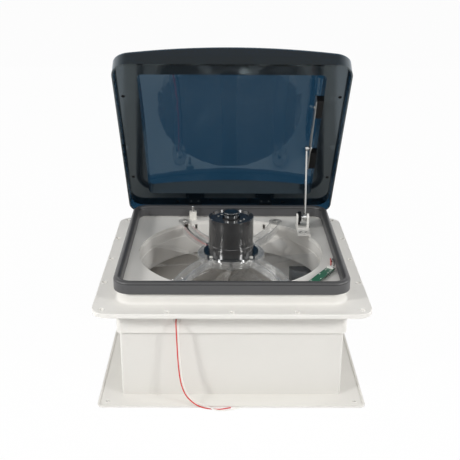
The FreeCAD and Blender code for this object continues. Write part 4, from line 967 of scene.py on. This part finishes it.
@dataclass
class RivetSet:
    """The round rivet heads behind the lid, over the straps.

    Args:
        node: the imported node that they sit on.
        size: a head's diameter, in metres.
        high: a head's height, in metres.
    """

    node: str = "strap_rivets"
    size: float = 0.008
    high: float = 0.0014

    def build(self, shop: Shop) -> None:
        """Grows a dome on each rivet's outer end.

        Args:
            shop: what they are made from.
        """
        way = Vector(Way.BEHIND_LID.value)
        places = []
        for points in solids_of(shop.nodes[self.node]):
            reach = points @ np.array(way)
            end = points[reach > reach.max() - SAME_LEVEL]
            places.append((Vector((end.min(axis=0) + end.max(axis=0)) / 2), way))
        item = shop.dome.grow("rivet_heads", places, {"Size": self.size, "High": self.high},
                              shop.get(SCREW_STEEL))
        hand_over(item, Body.LID, Slot.FASTENER_STEEL)


@dataclass
class InsectNet:
    """The brown net in the screen's frame.

    Args:
        pitch: the distance from thread to thread, in metres.
        thread: a thread's width, in metres.
    """

    pitch: float = 0.0016
    thread: float = 0.00104

    def build(self, shop: Shop) -> None:
        """Grows the net where the flat solid stands.

        Args:
            shop: what it is made from.
        """
        low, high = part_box("screen_mesh")
        item = shop.net.grow("insect_net", [(Vector(), Vector(Way.UP.value))], {
            "Side": high[0] - low[0], "Pitch": self.pitch, "Thread": self.thread,
            "Level": (low[2] + high[2]) / 2}, shop.get(NET_BROWN))
        hand_over(item, Body.BASE, Slot.SCREEN_PLASTIC, "screen_mesh")


def collar(name: str, radii: Pair, levels: Pair, bevel: Pair, steps: int = 96,
           crisp: float = 32.0) -> bpy.types.Object:
    """Turns a ring with a bevelled upper edge about the fan's axis.

    Args:
        name: the piece's name.
        radii: its inner and outer radius, in millimetres.
        levels: its lower and upper height.
        bevel: how far the bevel reaches in and down.
        steps: how many flats the turn has.
        crisp: the angle past which an edge stays sharp, in degrees.

    Returns:
        The piece.
    """
    (inner, outer), (low, top), (back, down) = radii, levels, bevel
    outline = ((inner, low), (outer, low), (outer, top - down), (outer - back, top), (inner, top))
    shell = bmesh.new()
    rings = []
    for step in range(steps):
        angle = math.tau * step / steps
        x, y = math.cos(angle) * MM, math.sin(angle) * MM
        rings.append([shell.verts.new((radius * x, radius * y, height * MM)) for radius, height in outline])
    for one, two in zip(rings, rings[1:] + rings[:1]):
        for number in range(len(outline)):
            after = (number + 1) % len(outline)
            shell.faces.new((one[number], two[number], two[after], one[after]))
    bmesh.ops.recalc_face_normals(shell, faces=shell.faces)
    mesh = bpy.data.meshes.new(name)
    shell.to_mesh(mesh)
    shell.free()
    mesh.shade_smooth()
    mesh.set_sharp_from_angle(angle=math.radians(crisp))
    return link(name, mesh)


@dataclass
class MotorTrim:
    """What the motor's plain solids lack: its lower band, cap ring, end-plate rivets and ring ribs.

    Args:
        can: the can's radius, in millimetres.
        foot: where the can stands on its flange.
        seam: the top of the band round its foot.
        band: how far the band stands out.
        band_bevel: how far its bevel reaches in and down.
        sink: how far band and ring reach into what carries them.
        plate: the end plate's height.
        cap: the cap's radius.
        ring: the cap ring's width and height.
        ring_bevel: how far its bevel reaches in and down.
        rivet_ring: the radius of the rivets' circle.
        rivet_turns: the rivets' places round it, in degrees.
        rivet: a rivet's sizes, in metres.
        rib_ring: the radius at which the clear ring's ribs stand.
        rib_level: the height of their middles.
        rib_turns: the ribs' places round it, in degrees.
        rib: a rib's sizes, in metres.
    """

    can: float = 37.5
    foot: float = 179.0
    seam: float = 194.0
    band: float = 0.7
    band_bevel: Pair = (0.4, 0.6)
    sink: float = 0.2
    plate: float = 237.9
    cap: float = 12.5
    ring: Pair = (2.6, 1.9)
    ring_bevel: Pair = (0.7, 0.7)
    rivet_ring: float = 22.4
    rivet_turns: Sequence[float] = (-19.0, -46.0, 134.0, 161.0)
    rivet: dict[str, float] = field(default_factory=lambda: {"Size": 0.0036, "High": 0.0011})
    rib_ring: float = 56.5
    rib_level: float = 171.0
    rib_turns: Sequence[float] = (-94.0, -86.0, -4.0, 4.0, 86.0, 94.0, 176.0, 184.0)
    rib: dict[str, float] = field(default_factory=lambda: {"Deep": 0.0022, "Wide": 0.0016, "High": 0.0088})

    @staticmethod
    def rounds(turns: Sequence[float], ring: float, height: float, upright: bool) -> list[Place]:
        """Places round the fan's axis.

        Args:
            turns: how far round each one is, in degrees.
            ring: their distance from the axis, in millimetres.
            height: their height.
            upright: whether they face up, and not outwards.

        Returns:
            The places.
        """
        places = []
        for turn in turns:
            out = Vector((math.cos(math.radians(turn)), math.sin(math.radians(turn)), 0.0))
            place = (out * ring + Vector((0.0, 0.0, height))) * MM
            places.append((place, Vector(Way.UP.value) if upright else out))
        return places

    def build(self, shop: Shop) -> None:
        """Makes the band, the ring, the rivets and the ribs.

        Args:
            shop: what they are made from.
        """
        wide, high = self.ring
        for name, radius, out, levels, bevel, finish in (
                ("motor_band", self.can, self.band, (self.foot, self.seam), self.band_bevel, GLOSS_BLACK),
                ("cap_ring", self.cap, wide, (self.plate, self.plate + high), self.ring_bevel, DARK_SCREW)):
            item = collar(name, (radius - self.sink, radius + out), levels, bevel)
            shop.wardrobe.dress(item, finish)
            hand_over(item, Body.BASE, Slot.MOTOR_BLACK)
        places = self.rounds(self.rivet_turns, self.rivet_ring, self.plate, True)
        rivets = shop.dome.grow("end_plate_rivets", places, self.rivet, shop.get(SCREW_STEEL))
        hand_over(rivets, Body.BASE, Slot.FASTENER_STEEL)
        places = self.rounds(self.rib_turns, self.rib_ring, self.rib_level, False)
        ribs = shop.bar.grow("ring_ribs", places, self.rib, shop.get(CLEAR))
        hand_over(ribs, Body.BASE, Slot.CLEAR_PLASTIC)


@dataclass
class BoardTrim:
    """Solder on the rain sensor's board.

    Args:
        middle: the board's middle, in millimetres.
        turn: its turn about the upright, in degrees.
        top: the height of its upper face.
        spots: places along and across the board.
        size: a dome's diameter, in metres.
        high: a dome's height, in metres.
    """

    middle: Pair = (139.0, -118.8)
    turn: float = 57.5
    top: float = 183.6
    size: float = 0.0026
    high: float = 0.0006
    spots: Sequence[Pair] = (
        (31.0, -4.2), (31.0, 4.2), (26.5, -4.2), (26.5, 4.2), (-36.0, -4.4), (-36.0, 4.4), (-8.0, -5.0),
        (8.0, 5.0), (-22.0, 5.0), (18.0, -5.0))

    def build(self, shop: Shop) -> None:
        """Grows the solder domes on the board's face.

        Args:
            shop: what they are made from.
        """
        turn = Matrix.Rotation(math.radians(self.turn), 3, "Z")
        places = [((Vector((*self.middle, self.top)) + turn @ Vector((along, across, 0.0))) * MM,
                   Vector(Way.UP.value)) for along, across in self.spots]
        item = shop.dome.grow("board_solder", places, {"Size": self.size, "High": self.high},
                              shop.get(SOLDER))
        hand_over(item, Body.BASE, Slot.FASTENER_STEEL)


@dataclass
class HoleRims:
    """The raised rims round the screw holes of the garnish and the roof flange.

    Args:
        garnish: how far the garnish's holes are from the middle, in millimetres.
        garnish_top: the height of the garnish's face.
        corner: how far the flange's corner holes are from the middle.
        edge: how far its edge holes are from the middle.
        along: the edge holes' places along each edge.
        flange_top: the height of the flange's face.
        garnish_rim, flange_rim: the diameters of their rims, in metres.
        thick: the rims' wire, in metres.
    """

    garnish: float = 192.9
    garnish_top: float = 2.5
    corner: float = 195.4
    edge: float = 203.5
    along: Sequence[float] = (-97.0, 0.0, 97.0)
    flange_top: float = 162.0
    garnish_rim: float = 0.0072
    flange_rim: float = 0.0086
    thick: float = 0.0012

    def grow(self, shop: Shop, name: str, spots: Sequence[Point], size: float, finish: Finish) -> None:
        """Grows one plate's rims.

        Args:
            shop: what they are made from.
            name: the piece's name.
            spots: the middles of the holes, in millimetres.
            size: the rim's diameter.
            finish: the plate's finish.
        """
        places = [(Vector(spot) * MM, Vector(Way.UP.value)) for spot in spots]
        item = shop.ring.grow(name, places, {"Size": size, "Thick": self.thick}, shop.get(finish))
        hand_over(item, Body.BASE, Slot.WHITE_PLASTIC)

    def build(self, shop: Shop) -> None:
        """Grows a rim round each hole of both plates.

        Args:
            shop: what they are made from.
        """
        sides = (-1.0, 1.0)
        spots = [(x * self.garnish, y * self.garnish, self.garnish_top) for x in sides for y in sides]
        self.grow(shop, "garnish_rims", spots, self.garnish_rim, GARNISH_WHITE)
        spots = [(x * self.corner, y * self.corner, self.flange_top) for x in sides for y in sides]
        for side in sides:
            spots += [(side * self.edge, step, self.flange_top) for step in self.along]
            spots += [(step, side * self.edge, self.flange_top) for step in self.along]
        self.grow(shop, "flange_rims", spots, self.flange_rim, TERMINAL)


class FarEnd(Enum):
    """What a lead may end in."""

    BARE = "bare"
    OBJECT = "object"


class Lay(Enum):
    """The ways that a lead may lie."""

    HANGING = "hanging"
    LOOSE = "loose"


# How finely a lead is drawn.
LEAD_SIDES = 4
LEAD_STEPS = 12
LEAD_ORDER = 3


@dataclass
class Lead:
    """A limp wire that leaves the object and lies on the floor, or runs between two of its pieces.

    Args:
        name: the piece's name.
        node: the solid that it stands for.
        finish: its cover.
        slot: the record's material slot.
        across: its diameter, in metres.
        length: its length along the curve, in metres; not used.
        far_end: what it ends in; not used.
        lay: how it lies; not used.
        route: its control points, in millimetres.
    """

    name: str
    node: str
    finish: Finish
    slot: Slot
    across: float
    length: float
    far_end: FarEnd
    lay: Lay
    route: Sequence[Point]

    def build(self, wardrobe: Wardrobe) -> None:
        """Args:
            wardrobe: the finishes.
        """
        curve = bpy.data.curves.new(self.name, "CURVE")
        curve.dimensions = "3D"
        curve.bevel_depth = self.across / 2
        curve.bevel_resolution = LEAD_SIDES
        curve.use_fill_caps = True
        curve.resolution_u = LEAD_STEPS
        spline = curve.splines.new("NURBS")
        spline.points.add(len(self.route) - 1)
        for point, place in zip(spline.points, self.route):
            point.co = (*(part * MM for part in place), 1.0)
        spline.order_u = LEAD_ORDER
        spline.use_endpoint_u = True
        item = link(self.name, curve)
        wardrobe.dress(item, self.finish)
        start = tuple(part * MM for part in self.route[0])
        hand_over(item, Body.BASE, self.slot, self.node)


LEADS = (
    Lead("supply_lead_red", "lead_red", LEAD_RED, Slot.RED_INSULATION,
         0.0019, 0.204, FarEnd.BARE, Lay.HANGING, (
             (-84.8, -178.5, 137.0), (-84.8, -184.0, 137.0), (-84.6, -189.6, 131.8), (-84.2, -191.2, 122.5),
             (-83.6, -192.6, 107.0), (-82.7, -194.6, 84.0), (-81.0, -197.8, 60.0), (-77.9, -201.2, 38.0),
             (-71.6, -204.2, 21.0), (-62.0, -206.8, 10.5), (-50.2, -210.6, 4.0), (-38.5, -212.0, 1.4),
             (-26.4, -213.6, 1.2), (-14.6, -213.9, 1.2), (-1.2, -209.4, 1.2))),
    Lead("supply_lead_white", "lead_white", LEAD_WHITE, Slot.WHITE_INSULATION,
         0.0019, 0.2156, FarEnd.BARE, Lay.HANGING, (
             (-82.2, -178.5, 137.0), (-82.2, -184.0, 137.0), (-82.0, -189.6, 131.6), (-81.6, -191.2, 122.0),
             (-81.0, -192.6, 106.5), (-80.0, -194.6, 83.5), (-78.2, -197.8, 59.5), (-75.0, -200.9, 37.5),
             (-68.6, -203.4, 20.5), (-59.4, -205.4, 11.0), (-48.0, -207.8, 7.4), (-37.0, -213.2, 6.2),
             (-26.5, -217.0, 2.2), (-14.5, -217.9, 1.2), (-1.0, -215.0, 1.2), (12.4, -209.2, 1.2))),
    Lead("sensor_wire_red", "sensor_lead_red", LEAD_RED, Slot.RED_INSULATION,
         0.0016, 0.046, FarEnd.OBJECT, Lay.LOOSE, (
             (158.17, -83.59, 185.1), (160.75, -79.54, 185.1), (161.6, -70.0, 188.4), (161.8, -60.5, 188.6),
             (162.8, -53.0, 186.6), (164.7, -47.0, 181.2), (164.7, -47.0, 175.0))),
    Lead("sensor_wire_black", "sensor_lead_black", LEAD_BLACK, Slot.BLACK_INSULATION,
         0.0016, 0.0486, FarEnd.OBJECT, Lay.LOOSE, (
             (162.81, -86.54, 185.1), (165.39, -82.49, 185.1), (166.0, -74.0, 188.4), (166.3, -63.0, 188.8),
             (166.3, -54.0, 187.0), (166.3, -47.0, 181.2), (166.3, -47.0, 175.0))),
    Lead("motor_wire_red", "motor_lead_red", LEAD_RED, Slot.RED_INSULATION,
         0.002, 0.1045, FarEnd.OBJECT, Lay.LOOSE, (
             (-39.8, 40.91, 171.0), (-72.47, 82.71, 171.0), (-84.95, 134.31, 171.0))),
    Lead("motor_wire_black", "motor_lead_black", LEAD_BLACK, Slot.BLACK_INSULATION,
         0.002, 0.1037, FarEnd.OBJECT, Lay.LOOSE, (
             (-36.59, 43.95, 171.0), (-68.95, 85.53, 171.0), (-81.01, 136.78, 171.0))),
)


WHITE = (1.0, 1.0, 1.0, 1.0)


@dataclass(frozen=True)
class Lamp:
    """One square lamp of the studio.

    Args:
        name: the lamp's name.
        place: where it hangs, in metres.
        size: its side, in metres.
        power: its power, in watts.
    """

    name: str
    place: Point
    size: float
    power: float


@dataclass
class Studio:
    """The camera of the photograph, the pale floor and the soft light.

    Args:
        focal: the focal length in pixels of the photograph.
        frame: the photograph's side in pixels.
        pitch, yaw, roll: the camera's turns, in degrees.
        eye: where the camera stands, in millimetres.
        sensor: the width of the camera's sensor, in millimetres.
        far: how far the camera sees, in metres.
        lamps: the soft lamps.
        aim: what they point at, in metres.
        lamp_colour: their colour.
        world_level: how much light comes from all round.
        ceiling: how light the studio's ceiling looks.
        ceiling_rise: where the walls' white starts to fade to it, and where it ends.
        reach: half the floor's side, in metres.
        floor_colour: the floor's colour.
        floor_glow: the share of plain white in what is seen of the floor.
    """

    focal: float = 839.416
    frame: float = 460.0
    pitch: float = 20.67
    yaw: float = 0.636
    roll: float = 0.401
    eye: Point = (-16.578, -1325.647, 715.741)
    sensor: float = 36.0
    far: float = 50.0
    lamps: Sequence[Lamp] = (
        Lamp("left", (-1.9, -1.5, 1.25), 0.4, 31.0),
        Lamp("right", (1.9, -1.5, 1.25), 0.4, 25.0),
        Lamp("front", (0.0, -1.25, 2.3), 2.0, 16.0),
        Lamp("rear", (0.0, 2.4, 1.1), 2.4, 5.0),
        Lamp("far_left", (-2.4, -0.1, 0.85), 1.2, 16.0),
        Lamp("far_right", (2.4, -0.1, 0.85), 1.2, 17.0),
    )
    aim: Point = (0.0, 0.0, 0.15)
    lamp_colour: Colour = (1.0, 0.997, 0.993)
    world_level: float = 0.13
    ceiling: float = 0.3
    ceiling_rise: Pair = (0.45, 0.95)
    reach: float = 12.0
    floor_colour: Colour = (0.92, 0.92, 0.92)
    floor_glow: float = 0.97

    def camera(self) -> None:
        """Sets up the camera."""
        data = bpy.data.cameras.new("photo_camera")
        data.sensor_width = self.sensor
        data.lens = self.focal * self.sensor / self.frame
        data.clip_end = self.far
        pitch, yaw, roll = (math.radians(angle) for angle in (self.pitch, self.yaw, self.roll))
        ahead = Vector((math.sin(yaw) * math.cos(pitch), math.cos(yaw) * math.cos(pitch), -math.sin(pitch)))
        right = Vector((math.cos(yaw), -math.sin(yaw), 0.0))
        up = right.cross(ahead)
        side = right * math.cos(roll) + up * math.sin(roll)
        over = up * math.cos(roll) - right * math.sin(roll)
        item = link("photo_camera", data)
        turn = Matrix((side, over, -ahead)).transposed().to_4x4()
        item.matrix_world = Matrix.Translation(Vector(self.eye) * MM) @ turn
        bpy.context.scene.camera = item

    def light(self) -> None:
        """Sets up the soft lamps and the pale world."""
        for lamp in self.lamps:
            data = bpy.data.lights.new(lamp.name, "AREA")
            data.shape = "SQUARE"
            data.size = lamp.size
            data.energy = lamp.power
            data.color = self.lamp_colour
            item = link(lamp.name, data)
            item.visible_transmission = False
            item.location = lamp.place
            item.rotation_euler = (Vector(self.aim) - Vector(lamp.place)).to_track_quat("-Z", "Y").to_euler()
        world = bpy.data.worlds.new("studio")
        bpy.context.scene.world = world
        world.use_nodes = True
        sky = Bench()
        sky.tree = world.node_tree
        sky.tree.nodes.clear()
        lit = sky.node("ShaderNodeBackground", None, {"Color": WHITE, "Strength": self.world_level})
        place = sky.node("ShaderNodeTexCoord").outputs["Generated"]
        rise = sky.node("ShaderNodeSeparateXYZ", None, {0: place}).outputs[2]
        low, high = self.ceiling_rise
        level = sky.node("ShaderNodeMapRange", None, {
            "Value": rise, "From Min": low, "From Max": high, "To Min": 1.0, "To Max": self.ceiling})
        seen = sky.node("ShaderNodeBackground", None, {"Color": WHITE, "Strength": level.outputs[0]})
        mix = sky.node("ShaderNodeMixShader", None,
                       {0: self.watched(sky), 1: lit.outputs[0], 2: seen.outputs[0]})
        sky.node("ShaderNodeOutputWorld", None, {"Surface": mix.outputs[0]})

    @staticmethod
    def watched(bench: Bench) -> Signal:
        """What tells rays from the camera, from gloss and through clear pieces from the rest.

        Args:
            bench: the tree that asks.

        Returns:
            One for these rays, nought for the rest.
        """
        path = bench.node("ShaderNodeLightPath")
        camera, gloss, clear = (Signal(bench, path.outputs[name]) for name in (
            "Is Camera Ray", "Is Glossy Ray", "Is Transmission Ray"))
        return camera.larger(gloss).larger(clear)

    def floor(self) -> None:
        """Lays the pale floor, which keeps the object's soft shadow."""
        mesh = bpy.data.meshes.new("floor")
        corners = ((-1, -1), (1, -1), (1, 1), (-1, 1))
        mesh.from_pydata([(x * self.reach, y * self.reach, 0.0) for x, y in corners], [], [(0, 1, 2, 3)])
        item = link("floor", mesh)
        graph = Graph("pale_floor")
        matt = graph.node("ShaderNodeBsdfDiffuse", None, {"Color": (*self.floor_colour, 1.0)})
        glow = graph.node("ShaderNodeEmission", None, {"Color": WHITE, "Strength": 1.0})
        seen = self.watched(graph) * self.floor_glow
        mix = graph.node("ShaderNodeMixShader", None, {0: seen, 1: matt.outputs[0], 2: glow.outputs[0]})
        graph.node("ShaderNodeOutputMaterial", None, {"Surface": mix.outputs[0]})
        mesh.materials.append(graph.material)

    def build(self) -> None:
        """Sets up everything round the object."""
        self.camera()
        self.light()
        self.floor()
        bpy.context.scene.view_settings.view_transform = "Standard"


def main() -> None:
    """Builds the scene in order: camera and leads first, then the finishes and fine pieces."""
    logging.basicConfig(level=logging.INFO, format="%(message)s")
    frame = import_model()
    Studio().build()
    wardrobe = Wardrobe()
    for lead in LEADS:
        lead.build(wardrobe)
    wardrobe.dress_nodes(frame["nodes"])
    shop = Shop(frame["nodes"], wardrobe)
    for piece in (*SCREW_SETS, RivetSet(), InsectNet(), MotorTrim(), BoardTrim(), HoleRims()):
        piece.build(shop)


if __name__ == "__main__":
    main()
